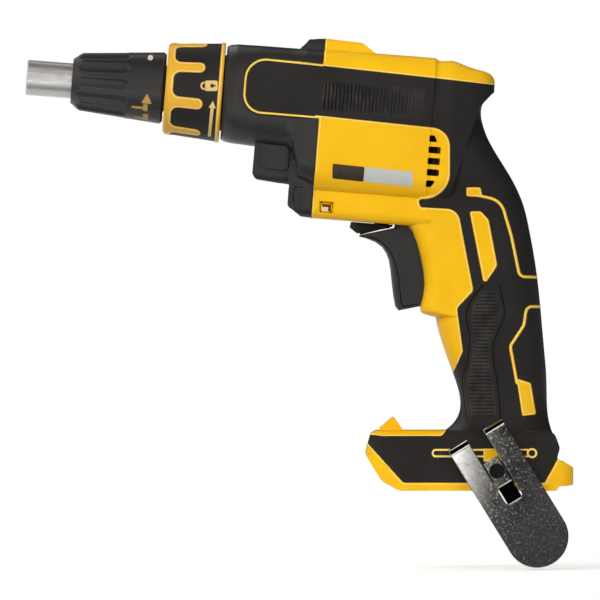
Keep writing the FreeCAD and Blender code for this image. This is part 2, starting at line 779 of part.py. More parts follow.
finger_root = val("collar_front") + 3.6
finger_end = val("collar_front") + val("finger_length")
finger_half, root_radius = val("finger_width") / 2, val("finger_root_radius")
finger_side = finger_half + root_radius + 0.5
finger = Part.Face(rounded_wire([
    (finger_root - 1, -finger_side), (finger_root, -finger_side), (finger_root, -finger_half, root_radius),
    (finger_end, -finger_half, finger_half - 0.05), (finger_end, finger_half, finger_half - 0.05),
    (finger_root, finger_half, root_radius), (finger_root, finger_side), (finger_root - 1, finger_side),
], lambda u, y: V(u, y, 10))).extrude(V(0, 0, 30))
fingers = ring_of(finger, val("collar_fingers"), val("finger_phase"))
pad_zone = collar_cone(3).cut(collar_cone(-val("collar_pad"))).cut(fingers)
carved("lock_collar", collar_blank, to_world(pad_zone))
feature("collar_grip", pad_zone.common(collar_cone(-0.35)), BARREL)

# The spindle, its bit holder and the push clutch

jaw_front = "socket_front + socket_length + 1.0"
jaw_back = jaw_front + " + jaw_thickness"
spindle_blank = turned("spindle_blank", [
    ("socket_front", "0"), ("socket_front", "socket_radius - 0.6"), ("socket_front + 0.6", "socket_radius"),
    ("socket_front + socket_length", "socket_radius"), ("socket_front + socket_length", "tail_radius + 1.0"),
    (jaw_back + " + 0.6", "tail_radius + 1.0"), (jaw_back + " + 0.6", "tail_radius"),
    ("gear_front + 19.0", "tail_radius"), ("gear_front + 19.0", "0"),
])
hex_radius = "Sizes.hex_width / 2 / cos(30 deg)"
hex_hole = doc.addObject("Part::Prism", "spindle_socket")
hex_hole.Polygon = 6
hex_hole.setExpression("Circumradius", hex_radius)
hex_hole.setExpression("Height", bound("hex_depth"))
tilt_words = "Sizes.barrel_tilt * 1 deg"
hex_hole.Placement = FreeCAD.Placement(V(0, 0, 0), FreeCAD.Rotation(V(0, 1, 0), 90 + val("barrel_tilt")))
hex_hole.setExpression("Placement.Rotation.Angle", "90 deg + " + tilt_words)
hex_hole.setExpression("Placement.Base.x", "Sizes.barrel_x + Sizes.socket_front * cos(%s)" % tilt_words)
hex_hole.setExpression("Placement.Base.z", "Sizes.barrel_z - Sizes.socket_front * sin(%s)" % tilt_words)
spindle = doc.addObject("Part::Cut", "spindle")
spindle.Label = "spindle"
spindle.Base = spindle_blank
spindle.Tool = hex_hole
keep(spindle)


def hex_bar(start, length, shrink):
    """A six-sided bar along u, in the barrel frame."""
    reach = (val("hex_width") / 2 - shrink) / math.cos(math.pi / 6)
    turns = [math.pi / 3 * i for i in range(7)]
    points = [V(start, reach * math.sin(a), -reach * math.cos(a)) for a in turns]
    return Part.Face(Part.makePolygon(points)).extrude(V(length, 0, 0))


holder_front, holder_r = val("bit_holder_front"), val("bit_holder_radius")
socket_front = val("socket_front")
holder = rod(holder_r, holder_front, socket_front - 2)
holder = holder.cut(rod(holder_r + 1, holder_front + 22, holder_front + 24).cut(rod(holder_r - 0.7, holder_front, 0)))
holder = holder.fuse(hex_bar(socket_front - 2.5, val("hex_depth") - 1, 0.05))
holder = holder.cut(hex_bar(holder_front - 1, val("bit_socket_depth") + 1, -0.02))
feature("bit_holder", holder.removeSplitter(), BARREL)

jaw_u = total(jaw_front)
jaw = rod(val("jaw_radius"), jaw_u, jaw_u + val("jaw_thickness")).cut(
    rod(val("tail_radius") + 1.0, jaw_u - 1, jaw_u + val("jaw_thickness") + 1)
)
dog_start = jaw_u + val("jaw_thickness")
feature("clutch_jaw", jaw.fuse(dogs(dog_start, val("dog_height"), 0)).removeSplitter(), BARREL)

gear_u, gear_end = val("gear_front"), val("gear_front") + val("gear_width")
hub_end = val("plate_front") + val("plate_thickness") + 0.6
rim = Part.Face(gear_wire(val("gear_teeth"), val("gear_module"), -math.pi / 2 + math.pi / val("gear_teeth"), gear_u))
rim = rim.extrude(V(val("gear_width"), 0, 0))
gear_dogs = dogs(gear_u - val("dog_height") - 0.5, val("dog_height") + 0.5, 180 / val("dog_count"))
gear = rim.fuse(rod(val("gear_hub_radius") - val("running_gap"), gear_end - 1, hub_end)).fuse(gear_dogs)
web_cut = rod(17.0, gear_end - 2, gear_end + 1).cut(rod(8.5, gear_end - 3, gear_end + 2))
gear = gear.cut(rod(val("tail_radius") + val("running_gap"), gear_u - 5, hub_end + 1)).cut(web_cut)
feature("drive_gear", gear.removeSplitter(), BARREL)

spring_length = gear_u - dog_start
wire_r = val("spring_wire") / 2
coil_rise = spring_length - 2 * wire_r - 0.1
coil_r = val("spring_radius")


def coil_point(turn):
    """A point on the spring's line, and its direction there, after so many turns."""
    a, climb = 2 * math.pi * turn, coil_rise / (2 * math.pi * val("spring_coils"))
    at = V(dog_start + wire_r + 0.05 + climb * a, coil_r * math.cos(a), coil_r * math.sin(a))
    return at, V(climb, -coil_r * math.sin(a), coil_r * math.cos(a)).normalize()


def biarc(start, along, end, onward):
    """Two arcs from start to end that leave and arrive along the two given directions."""
    span, both = end - start, along + onward
    flat, lean = 2 * along.dot(onward) - 2, -2 * span.dot(both)
    reach = (-lean - math.sqrt(lean * lean - 4 * flat * span.dot(span))) / (2 * flat)
    knees = (start + along * reach, end - onward * reach)
    joint = (knees[0] + knees[1]) * 0.5
    arcs = []
    for low, knee, high in ((start, knees[0], joint), (joint, knees[1], end)):
        chord = (low + high) * 0.5
        half, rise = (high - low).Length / 2, (knee - chord).Length
        bulge = half * math.tan(math.atan2(rise, half) / 2)
        arcs.append(Part.Arc(low, chord + (knee - chord).normalize() * bulge, high).toShape())
    return arcs


quarters = int(round(4 * val("spring_coils")))
coil_knots = [coil_point(val("spring_coils") * i / quarters) for i in range(quarters + 1)]
coil_ring = Part.makeCircle(wire_r, coil_knots[0][0], coil_knots[0][1])
coil_faces = [Part.Face(Part.Wire(coil_ring))]
for (at, along), (end, onward) in zip(coil_knots, coil_knots[1:]):
    for arc in biarc(at, along, end, onward):
        sweep = math.degrees(arc.LastParameter - arc.FirstParameter)
        coil_faces.append(coil_ring.revolve(arc.Curve.Center, arc.Curve.Axis, sweep))
        coil_ring = coil_ring.rotated(arc.Curve.Center, arc.Curve.Axis, sweep)
coil_faces.append(Part.Face(Part.Wire(coil_ring)))
coil_shell = Part.makeShell(coil_faces)
coil_shell.sewShape()
feature("clutch_spring", Part.makeSolid(coil_shell), BARREL)
print("spring gap", round(coil_rise / val("spring_coils") - val("spring_wire"), 2), "mm")

plate_u, plate_end = val("plate_front"), val("plate_front") + val("plate_thickness")


def race(label_radius, bore, start, at_w):
    """A shielded ball bearing as one ring with shallow face grooves."""
    width = val("bearing_width")
    ring = rod(label_radius, start, start + width, (0, at_w)).cut(rod(bore, start - 1, start + width + 1, (0, at_w)))
    step = (label_radius - bore) / 4
    groove = rod(label_radius - step, 0, 0.4).cut(rod(bore + step, 0, 0.4))
    for u in (start, start + width - 0.4):
        ring = ring.cut(groove.translated(V(u, 0, at_w)))
    return ring


feature("spindle_bearing", race(val("spindle_bearing_radius"), val("gear_hub_radius"), plate_u, 0), BARREL)
rotor_bore = val("rotor_shaft_radius") + val("running_gap")
front_race = race(val("rotor_bearing_radius"), rotor_bore, plate_u, -motor_drop)
rear_race = race(val("rotor_bearing_radius"), rotor_bore, val("rear_bearing_front"), -motor_drop)
feature("rotor_bearings", Part.makeCompound([front_race, rear_race]), BARREL)
keep(turned("spindle_bush", [
    ("0.5", "socket_radius + running_gap"), ("0.5", "bush_radius"),
    ("0.5 + bush_length", "bush_radius"), ("0.5 + bush_length", "socket_radius + running_gap"),
]))


def hull_face(big, small, at):
    """Two circles round the spindle and the motor axis, joined by their outer tangents."""
    lean = math.asin((big - small) / motor_drop)
    c, s = math.cos(lean), math.sin(lean)
    edges = [
        Part.Arc(V(at, -big * c, -big * s), V(at, 0, big), V(at, big * c, -big * s)).toShape(),
        Part.LineSegment(V(at, big * c, -big * s), V(at, small * c, -motor_drop - small * s)).toShape(),
        Part.Arc(
            V(at, small * c, -motor_drop - small * s), V(at, 0, -motor_drop - small),
            V(at, -small * c, -motor_drop - small * s),
        ).toShape(),
        Part.LineSegment(V(at, -small * c, -motor_drop - small * s), V(at, -big * c, -big * s)).toShape(),
    ]
    return Part.Face(Part.Wire(edges))


plate_big, plate_small = chamber_radius - 0.2, val("rotor_bearing_radius") + 3
plate = hull_face(plate_big, plate_small, plate_u).extrude(V(val("plate_thickness"), 0, 0))
plate = plate.cut(rod(val("spindle_bearing_radius"), plate_u - 1, plate_end + 1))
plate = plate.cut(rod(val("rotor_bearing_radius"), plate_u - 1, plate_end + 1, (0, -motor_drop)))
feature("bearing_plate", plate, BARREL)

# The motor, on its own line under the spindle

shaft_end = "rear_bearing_front + bearing_width + 2.0"
keep(turned("rotor_shaft", [
    ("gear_front - 2.0", "0"), ("gear_front - 2.0", "rotor_shaft_radius"),
    (shaft_end, "rotor_shaft_radius"), (shaft_end, "0"),
], GEAR_CENTRES))
keep(turned("rotor_core", [
    ("stator_front + 2.0", "rotor_shaft_radius"), ("stator_front + 2.0", "rotor_radius"),
    ("stator_front + stator_length - 2.0", "rotor_radius"),
    ("stator_front + stator_length - 2.0", "rotor_shaft_radius"),
], GEAR_CENTRES))
pinion = Part.Face(gear_wire(val("pinion_teeth"), val("gear_module"), math.pi / 2, gear_u - 0.5))
pinion = pinion.extrude(V(val("gear_width") + 1.5, 0, 0))
pinion = pinion.cut(rod(val("rotor_shaft_radius"), gear_u - 2, gear_end + 2))
motor_line = BARREL.multiply(FreeCAD.Placement(V(0, 0, -motor_drop), FreeCAD.Rotation()))
feature("pinion", pinion, motor_line)
stator_u, stator_end = val("stator_front"), val("stator_front") + val("stator_length")
stator_bore = val("rotor_radius") + val("air_gap")
slot = box_between((stator_u - 1, -1.4, stator_bore - 1), (stator_end + 1, 1.4, val("motor_radius") - 3))
stator = rod(val("motor_radius"), stator_u, stator_end).cut(rod(stator_bore, stator_u - 1, stator_end + 1))
feature("motor_stator", stator.cut(ring_of(slot, val("stator_slots"))), motor_line)
coil_low, coil_high = stator_bore + 0.8, val("motor_radius") - 1.6
end_turn = rod(coil_high, 0, val("winding_length")).cut(rod(coil_low, -1, val("winding_length") + 1))
gap = box_between((-1, -0.8, coil_low - 1), (val("winding_length") + 1, 0.8, coil_high + 1))
end_turn = end_turn.cut(ring_of(gap, val("stator_slots")))
feature("stator_windings", Part.makeCompound([
    end_turn.translated(V(stator_u - val("winding_length"), 0, 0)), end_turn.translated(V(stator_end, 0, 0)),
]), motor_line)
fan_u, fan_end = val("fan_front"), val("fan_front") + val("fan_width")
fan = rod(val("fan_radius"), fan_end - 1.5, fan_end).fuse(rod(val("fan_hub_radius"), fan_u, fan_end))
blade = box_between((fan_u, -0.7, val("fan_hub_radius") - 1), (fan_end - 1, 0.7, val("fan_radius") - 0.5))
blade.rotate(V(0, 0, 0), V(0, 0, 1), 12)
for copy in ring_of(blade, val("fan_blades")):
    fan = fan.fuse(copy)
fan = fan.common(rod(val("fan_radius"), fan_u, fan_end))
feature("cooling_fan", fan.cut(rod(val("rotor_shaft_radius"), fan_u - 1, fan_end + 1)).removeSplitter(), motor_line)

# The gear case with its bosses, cavities and work light

cheek_seat = 1.2
cheek_room = slab(cheek_face(0.15), FAR)
case = case_form(0).cut(cheek_room).fuse(case_form(cheek_seat))
front_boss = slab(side_face([
    (13, -15, 0), (16.6, -22.0, 1.0), (16.6, -39.5, 3.2), (35, -41.0, 0), (46, -41.0, 0), (46, -15, 0),
]), 15.0)
boss_across = section_wire(0, -41.1, 0, 15.0, 4.0, lambda u, y, w: V(u, y, w))
front_boss = front_boss.common(Part.Face(boss_across).extrude(V(60, 0, 0)))
boss_pad = slab(side_face([(20.6, -33.8, 2.4), (32.8, -34.4, 2.4), (32.8, -23.4, 2.4), (20.6, -23, 2.4)]), 16.6)
lamp_boss = slab(side_face([
    (34.3, -30, 0), (34.3, -51.0, 2.5), (41.0, -55.6, 2.0), (46, -55.9, 0), (46, -30, 0),
]), val("chin_half_width") - 0.6)
lamp_across = section_wire(0, -56.0, 0, val("chin_half_width") - 0.6, 4.5, lambda u, y, w: V(u, y, w))
lamp_boss = lamp_boss.common(Part.Face(lamp_across).extrude(V(60, 0, 0)))
ahead = box_between((-FAR, -FAR, -FAR), (val("case_joint"), FAR, FAR))
ridge = ridge_form(0).common(ahead)
spigot = rod(val("spigot_radius"), total(spigot_front), 1)
case = joined([case, front_boss, boss_pad, lamp_boss, ridge, spigot])
case = case.cut(rod(val("plug_radius"), total(spigot_front) - 1, -3.0))
case = case.cut(rod(val("socket_radius") + 1.2, -5, 16)).cut(rod(val("bush_radius"), 0.5, 16))
case = case.cut(rod(chamber_radius, 0.5 + val("bush_length") + 2, 60))
case = case.cut(rod(6.2, gear_u - 3, 60, (0, -motor_drop)))
case = case.cut(hull_face(plate_big + 0.1, plate_small + 0.1, plate_u - 0.2).extrude(V(20, 0, 0)))
lamp_room = box_between((36.6, -9.5, -50.2), (42.2, 9.5, -42.2))
lens_room = box_between((33, -8, -49.2), (37, 8, -43.2))
side_recess = side_face([(36.3, -49.4, 1.5), (41.2, -49.4, 1.5), (41.2, -41.4, 1.5), (36.3, -41.4, 1.5)])
case = case.cut([lamp_room, lens_room])
for side in (-1, 1):
    recess = slab(side_recess, 1.3).translated(V(0, side * (val("chin_half_width") - 0.6), 0))
    case = case.cut(recess)
feature("gear_case", case.removeSplitter(), BARREL)
lens = box_between((34.1, -7.9, -49.1), (36.7, 7.9, -43.3)).fuse(box_between((36.7, -9.3, -50.0), (38.2, 9.3, -42.4)))
feature("work_light_lens", lens.removeSplitter(), BARREL)
lamp_board = box_between((40.2, -9.3, -50.0), (41.8, 9.3, -42.4))
lamp_board = lamp_board.fuse(box_between((38.3, -1.5, -47.7), (40.2, 1.5, -44.7)))
feature("work_light_board", lamp_board.removeSplitter(), BARREL)

# Trigger, direction lever and lock button

# Level sections of the trigger: height, front and the radius of its front corners
TRIGGER_SECTIONS = [
    (85.2, -34.4, 3.0), (87.2, -36.0, 3.6), (92.0, -36.9, 4.0), (98.0, -37.6, 4.2), (104.0, -38.2, 4.4),
    (109.0, -39.0, 4.4), (112.5, -40.3, 4.2), (115.4, -42.3, 3.8), (117.8, -45.6, 3.4), (119.4, -49.6, 3.0),
    (120.4, -53.4, 2.4), (121.2, -52.4, 2.4), (122.7, -45.0, 2.4), (124.5, -36.6, 2.4), (126.8, -36.0, 2.4),
]
trigger_half, trigger_back = val("trigger_half_width"), val("trigger_back")
trigger_wires = []
for z, front, corner in TRIGGER_SECTIONS:
    corners = [
        (front, -trigger_half, corner), (trigger_back, -trigger_half),
        (trigger_back, trigger_half), (front, trigger_half, corner),
    ]
    trigger_wires.append(rounded_wire(corners, lambda x, y, z=z: V(x, y, z)))
trigger = Part.makeLoft(trigger_wires, True, True)
trigger = trigger.cut(slab(side_face([(-60, 80), (-37, 84.8), (trigger_back + 1, 88.0), (trigger_back + 1, 80)]), 20))
plunger_end = trigger_back + 9.0
trigger = trigger.fuse(rod(2.4, trigger_back - 1, plunger_end, (0, 108)))
feature("trigger", trigger.removeSplitter())
switch_front = trigger_back + val("trigger_travel") + 0.8
switch_back = plunger_end + val("trigger_travel") + 3.0
switch_half = val("switch_half_width")
switch = box_between((switch_front, -switch_half, 92.5), (switch_back, switch_half, 123.5))
switch = switch.cut(rod(2.7, switch_front - 1, plunger_end + val("trigger_travel") + 1, (0, 108)))
feature("switch_module", switch)

lever_top = val("chin_bottom") - val("sliding_gap")
lever_pivot = 79.5
lever_side = slab(side_face([
    (64.4, -59.0, 0.5), (64.9, lever_top, 0.3), (84.2, lever_top, 0.5), (83.6, -57.8, 0.4), (68.2, -61.6, 1.2),
]), 20)
lever_plan = Part.Face(rounded_wire([
    (64.2, -6.5, 2.5), (lever_pivot, -4.6, 0), (84.4, -4.6, 3.0),
    (84.4, 4.6, 3.0), (lever_pivot, 4.6, 0), (64.2, 6.5, 2.5),
], lambda u, y: V(u, y, -80))).extrude(V(0, 0, 60))
lever = lever_side.common(lever_plan)
lever = lever.fuse(Part.makeCylinder(val("lever_pivot_radius"), 6.5, V(lever_pivot, 0, lever_top - 0.5), V(0, 0, 1)))
feature("direction_lever", lever.removeSplitter(), BARREL)

button_u, button_w = 52.7, -50.6
button_half, button_tall = val("button_width") / 2, val("button_height") / 2
chin_side = -val("chin_half_width")
button = box_between(
    (button_u - button_half, chin_side + 0.2, button_w - button_tall),
    (button_u + button_half, chin_side + 0.2 + val("button_depth"), button_w + button_tall),
)
button = button.makeFillet(0.9, [e for e in button.Edges if abs(e.tangentAt(e.FirstParameter).y) > 0.9])
feature("lock_button", button, BARREL)

# The housing halves and the overmould

outer = body_form(0)
inner = body_form(val("skin"))
grip = outer.common(slab(overmould_face(), FAR)).cut(inner)
shell = outer.cut(grip).fuse(latch_stop())

motor_room_end = fan_end + val("fan_gap")
rear_seat = val("rear_bearing_front") + val("bearing_width")
cavities = [
    rod(val("motor_radius") + val("seat_gap"), val("case_joint") - 1, motor_room_end, (0, -motor_drop)),
    rod(val("rotor_bearing_radius") + 0.02, motor_room_end - 0.5, rear_seat, (0, -motor_drop)),
    rod(5.0, motor_room_end - 0.5, rear_seat + 4, (0, -motor_drop)),
    rod(val("gear_hub_radius") + 1.0, val("case_joint") - 1, gear_u + 20 + val("clutch_travel")),
    box_between((val("case_joint") - 1, -17, -2), (112, 17, 17)),
    Part.makeCylinder(
        val("lever_pivot_radius") + val("sliding_gap"), 8, V(lever_pivot, 0, val("chin_bottom") - 1), V(0, 0, 1)
    ),
    box_between(
        (button_u - button_half - 0.3, chin_side - 5, button_w - button_tall - 0.3),
        (button_u + button_half + 0.3, chin_side + 0.5 + val("button_depth") + val("button_travel"), button_w + button_tall + 0.3),
    ),
    box_between(
        (button_u - button_half - 0.9, chin_side - 5, button_w - button_tall - 0.8),
        (button_u + button_half + 0.9, chin_side + 0.8, button_w + button_tall + 0.8),
    ),
    case_form(cheek_seat - 0.1),
]
vent_front, vent_length, vent_half = val("vent_front"), val("vent_length"), val("vent_height") / 2
vents = []
for i in range(int(val("vent_count"))):
    middle = -motor_drop + ((val("vent_count") - 1) / 2 - i) * val("vent_pitch")
    above = vent_length * (0.4 if i == 0 else 1.0)
    below = vent_length * (0.4 if i == val("vent_count") - 1 else 1.0)
    if i == 0:
        below = vent_length * 0.7
    if i == val("vent_count") - 1:
        above = vent_length * 0.8
    opening = side_face([
        (vent_front, middle - vent_half, 0.6), (vent_front + below, middle - vent_half, 0.6),
        (vent_front + above, middle + vent_half, 0.6), (vent_front, middle + vent_half, 0.6),
    ])
    opening.translate(V(0, -body_half_width - 5, 0))
    left_vent = opening.extrude(V(0, val("vent_depth") + 5, 0))
    vents += [left_vent, left_vent.translated(V(0, 2 * body_half_width + 5 - val("vent_depth"), 0))]
cavities = [to_world(shape) for shape in cavities + vents]

bay_top, rail = val("bay_height"), val("rail_height")
board_low = bay_top + 2.0
handle_room = handle_form(val("skin") + val("handle_wall")).common(
    box_between((-60, -40, board_low + val("board_height")), (60, 40, 92.4))
)
trigger_gap = val("sliding_gap")
cavities += [
    box_between((-70, -trigger_half - trigger_gap, 84.9), (switch_front + 0.01, trigger_half + trigger_gap, 127.2)),
    box_between((switch_front, -switch_half - 0.1, 92.4), (switch_back + 0.1, switch_half + 0.1, 123.6)),
    handle_room,
    box_between((-36, -25, board_low), (34, 25, board_low + val("board_height"))),
    box_between((-80, -val("bay_half_width"), rail), (val("bay_back"), val("bay_half_width"), bay_top)),
    box_between((-80, -val("rail_half_gap"), -5), (val("bay_back"), val("rail_half_gap"), rail + 1)),
]
clip_x, clip_z = val("clip_screw_x"), val("clip_screw_z")
foot_half = val("foot_half_width")
for side in (-1, 1):
    low, high = sorted((side * (foot_half - val("insert_length")), side * (foot_half + 5)))
    cavities.append(cross_rod(val("insert_radius"), low, high, clip_x, clip_z))
block_low, block_high = -6.0, 26.0
cavities.append(box_between((block_low, -20, bay_top - 1), (block_high, 20, board_low + 1)))

# A slot along both sides of the foot, with a round end at its back
for side in (-1, 1):
    depth_low, depth_high = sorted((side * (foot_half - 0.9), side * (foot_half + 5)))
    cavities.append(slot_face().translated(V(0, depth_low, 0)).extrude(V(0, depth_high - depth_low, 0)))
    cavities.append(cross_rod(1.5, depth_low, depth_high, 28.6, 17.8))

# Housing screws go in from the right, heads sunk below the skin
SCREWS = [
    (-62.0, 187.5, 17.0), (-2.0, 184.6, 15.0), (-6.5, 146.0, 19.0), (-56.5, 134.2, 14.0), (17.5, 116.0, 14.0),
    (14.5, 51.0, 11.0), (-41.5, 21.4, 24.0), (36.5, 21.0, 24.0),
]
screws = []
for x, z, head_y in SCREWS:
    head = cross_rod(val("screw_head_radius"), head_y, head_y + val("screw_head_height"), x, z)
    head = head.cut(cross_rod(1.4, head_y + 1.0, head_y + 5, x, z))
    tip_y = max(head_y - val("screw_length"), -14.0)
    shank = cross_rod(val("screw_radius"), tip_y, head_y + 0.1, x, z)
    screws.append(head.fuse(shank).removeSplitter())
    cavities.append(cross_rod(val("screw_head_radius") + 0.3, head_y, 60, x, z))
    cavities.append(cross_rod(val("screw_radius") + 0.02, tip_y, head_y + 1, x, z))
feature("housing_screws", Part.makeCompound(screws))

room = cavities[0]
room = room.multiFuse(cavities[1:])
shell = shell.cut(room)
grip = grip.cut(room)
left_half = box_between((-300, -100, -100), (300, 0, 400))
right_half = box_between((-300, 0, -100), (300, 100, 400))
for name, half in (("left", left_half), ("right", right_half)):
    feature(name + "_housing", shell.common(half))
    feature(name + "_grip", grip.common(half))

# The foot's electrical pieces

board = box_between((-34, -24, board_low), (32, 24, board_low + 1.6))
for x in (-24.0, -12.0, 0.0):
    board = board.fuse(box_between((x, -9, board_low + 1.6), (x + 8, 9, board_low + 4.4)))
feature("control_board", board.removeSplitter())
terminal = box_between((block_low + 0.1, -19.9, bay_top - 7.5), (block_high - 0.1, 19.9, bay_top - 0.02))
terminal = terminal.fuse(box_between((block_low + 0.1, -19.9, bay_top - 0.5), (block_high - 0.1, 19.9, board_low)))
blades, blade_slots = [], []
for i in range(int(val("blade_count"))):
    y = (i - (val("blade_count") - 1) / 2) * val("blade_pitch")
    blade_slots.append(box_between((block_low - 1, y - 1.6, bay_top - 9), (block_low + 18, y + 1.6, bay_top - 1)))
    blades.append(box_between((block_low + 2, y - 0.4, bay_top - 6.5), (block_low + 18, y + 0.4, bay_top - 1)))
feature("terminal_block", terminal.cut(blade_slots).removeSplitter())
feature("terminal_blades", Part.makeCompound(blades))

# The belt clip: a sprung plate with two arms, and a joggled tongue under its screw

clip_out = -(foot_half + val("clip_gap"))
sheet_t = val("clip_sheet")
half_w, slot_half = val("clip_width") / 2, val("clip_slot_width") / 2
screw_s = 36.3
arm_top = val("clip_plate_length") - half_w
arm_low = arm_top - val("clip_arm_length") + 4
plate_face = Part.Face(rounded_wire([
    (-half_w, -half_w, half_w - 0.05), (half_w, -half_w, half_w - 0.05), (half_w, arm_top - 3.5, 0), (slot_half, arm_top - 3.5, 0),
    (slot_half, arm_low, 3.0), (-slot_half, arm_low, 3.0), (-slot_half, arm_top - 3.5, 0), (-half_w, arm_top - 3.5, 0),
], lambda t, s: V(t, clip_out, s)))
clip = plate_face.extrude(V(0, -sheet_t, 0))
hook = Part.Face(rounded_wire([
    (clip_out - sheet_t, arm_top - 4, 0), (clip_out - sheet_t, arm_top - 0.2, 3.0), (clip_out + 2.4, arm_top + 0.4, 0),
    (clip_out + 2.4, arm_top - 1.1, 0), (clip_out, arm_top - 1.7, 1.5), (clip_out, arm_top - 4, 0),
], lambda y, s: V(0, y, s)))
for low, high in ((-half_w, -slot_half), (slot_half, half_w)):
    clip = clip.fuse(hook.translated(V(low, 0, 0)).extrude(V(high - low, 0, 0)))
tongue_half = slot_half - 0.6
tongue_in = -foot_half
tongue = Part.Face(rounded_wire([
    (clip_out, arm_low - 4, 0), (clip_out - sheet_t, arm_low - 4, 0), (clip_out - sheet_t, arm_low + 1.0, 2.0),
    (tongue_in - sheet_t, arm_low + 9.5, 2.0), (tongue_in - sheet_t, screw_s + 6, 0), (tongue_in, screw_s + 6, 0),
    (tongue_in, arm_low + 8.7, 2.5), (clip_out, arm_low + 0.2, 2.5),
], lambda y, s: V(-tongue_half, y, s))).extrude(V(2 * tongue_half, 0, 0))
clip = clip.fuse(tongue).removeSplitter()
clip = clip.cut(Part.makeCylinder(val("clip_screw_radius"), 20, V(0, clip_out - 5, screw_s), V(0, 1, 0)))
clip.rotate(V(0, 0, 0), V(0, 1, 0), -val("clip_angle"))
reach = FreeCAD.Rotation(V(0, 1, 0), -val("clip_angle")).multVec(V(0, 0, screw_s))
clip.translate(V(clip_x - reach.x, 0, clip_z - reach.z))
feature("belt_clip", clip)
screw_seat = -foot_half - sheet_t
clip_screw = cross_rod(val("insert_bore"), screw_seat - 0.1, -foot_half + val("insert_length"), clip_x, clip_z)
clip_head = cross_rod(3.6, screw_seat - 2.2, screw_seat, clip_x, clip_z)
clip_head = clip_head.cut(cross_rod(1.6, screw_seat - 3, screw_seat - 1.0, clip_x, clip_z))
feature("belt_clip_screw", clip_screw.fuse(clip_head).removeSplitter())
inserts = []
for side in (-1, 1):
    low, high = sorted((side * (foot_half - val("insert_length")), side * foot_half))
    insert = cross_rod(val("insert_radius"), low, high, clip_x, clip_z)
    inserts.append(insert.cut(cross_rod(val("insert_bore"), low - 1, high + 1, clip_x, clip_z)))
feature("clip_inserts", Part.makeCompound(inserts))

doc.recompute()
for obj in doc.Objects:
    if "Invalid" in obj.State or "Error" in obj.State:
        raise RuntimeError("%s is not built: %s" % (obj.Label, obj.State))
os.makedirs("parts", exist_ok=True)
for part in parts:
    if part.Shape.isNull() or not part.Shape.isValid():
        raise RuntimeError("%s has no valid shape" % part.Label)
    part.Shape.exportStep("parts/%s.step" % part.Label)
print(len(parts), "pieces")
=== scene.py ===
# %% [markdown]
# # A cordless drywall screwdriver
# The hard shapes of this tool come from CAD as a fixed frame of named pieces. This lesson
# dresses them: it lays moulded ribs, rounded rims, printed signs and a bare label foil on the
# skins, and gives every piece a finish made of nodes. Everything is in metres, in the CAD's
# frame; small measures are written in millimetres and multiplied by MM.

# %% Load the CAD frame
import json
import math

import bmesh
import bpy
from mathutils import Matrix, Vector
from mathutils.bvhtree import BVHTree
from mathutils.geometry import delaunay_2d_cdt


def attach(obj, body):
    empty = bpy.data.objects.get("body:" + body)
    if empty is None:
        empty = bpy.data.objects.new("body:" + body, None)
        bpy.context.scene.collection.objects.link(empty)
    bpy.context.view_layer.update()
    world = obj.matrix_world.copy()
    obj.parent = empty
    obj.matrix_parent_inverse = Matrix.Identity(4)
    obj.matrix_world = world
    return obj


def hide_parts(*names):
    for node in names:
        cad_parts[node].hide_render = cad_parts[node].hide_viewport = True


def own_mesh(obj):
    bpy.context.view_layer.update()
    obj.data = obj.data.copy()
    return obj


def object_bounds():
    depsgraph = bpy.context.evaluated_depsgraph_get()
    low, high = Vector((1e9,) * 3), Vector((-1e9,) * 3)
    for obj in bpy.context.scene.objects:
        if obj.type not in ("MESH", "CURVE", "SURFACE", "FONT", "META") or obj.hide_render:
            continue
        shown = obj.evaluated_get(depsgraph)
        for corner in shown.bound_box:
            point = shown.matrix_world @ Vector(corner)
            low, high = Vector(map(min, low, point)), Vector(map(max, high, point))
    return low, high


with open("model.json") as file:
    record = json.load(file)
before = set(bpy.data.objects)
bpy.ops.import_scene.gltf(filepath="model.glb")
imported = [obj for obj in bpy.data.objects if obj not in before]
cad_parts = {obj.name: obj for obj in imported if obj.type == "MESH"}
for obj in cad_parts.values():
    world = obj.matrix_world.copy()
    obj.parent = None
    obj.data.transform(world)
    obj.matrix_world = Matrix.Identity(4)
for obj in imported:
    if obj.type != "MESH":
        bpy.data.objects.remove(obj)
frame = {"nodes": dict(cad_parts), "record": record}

MM = 0.001
MERGE = 2e-6
cad_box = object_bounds()
nodes = frame["nodes"]
node_slot = {row["node"]: row["material_slot"] for row in frame["record"]["subparts"]}
print("loaded", len(nodes), "CAD pieces")

# %% [markdown]
# There are two handy ways to say where something is. The barrel leans nose-up, so anything on
# it is easier to place in a frame of its own: u runs back along the spindle from the gear
# case's front, w runs up, and y is shared. Signs and outlines were measured in the photograph,
# which looks straight at the tool's left side, so a column and a row give x and z.

# %% Places on the tool
TILT = math.radians(4.5)
BARREL_ORIGIN = Vector((-117.3, 0.0, 188.6)) * MM
BACK = Vector((math.cos(TILT), 0, -math.sin(TILT)))
UP = Vector((math.sin(TILT), 0, math.cos(TILT)))
PICTURE, PIXEL, ORIGIN_COLUMN, ORIGIN_ROW = 600, 0.475, 471, 490


def barrel(u, w, y=0.0):
    """A point of the barrel's frame, in millimetres, as a place in metres."""
    return BARREL_ORIGIN + BACK * (u * MM) + UP * (w * MM) + Vector((0, y * MM, 0))


def on_barrel(places):
    """Places given as u and w, seen from the side: x and z in millimetres."""
    points = [barrel(u, w) for u, w in places]
    return [(point.x / MM, point.z / MM) for point in points]


def seen(column, row):
    """A place in the photograph's pixel grid as x and z in millimetres."""
    return (column - ORIGIN_COLUMN) * PIXEL, (ORIGIN_ROW - row) * PIXEL


print("the barrel leans by", round(math.degrees(TILT), 1), "degrees")

# %% [markdown]
# A material is a small graph, and so is a geometry-node tree. In the editor you would add nodes
# and drag links between them; this kit does the same for both kinds of graph, so that the cells
# below read as a list of what is joined to what.

# %% A small kit for building node graphs


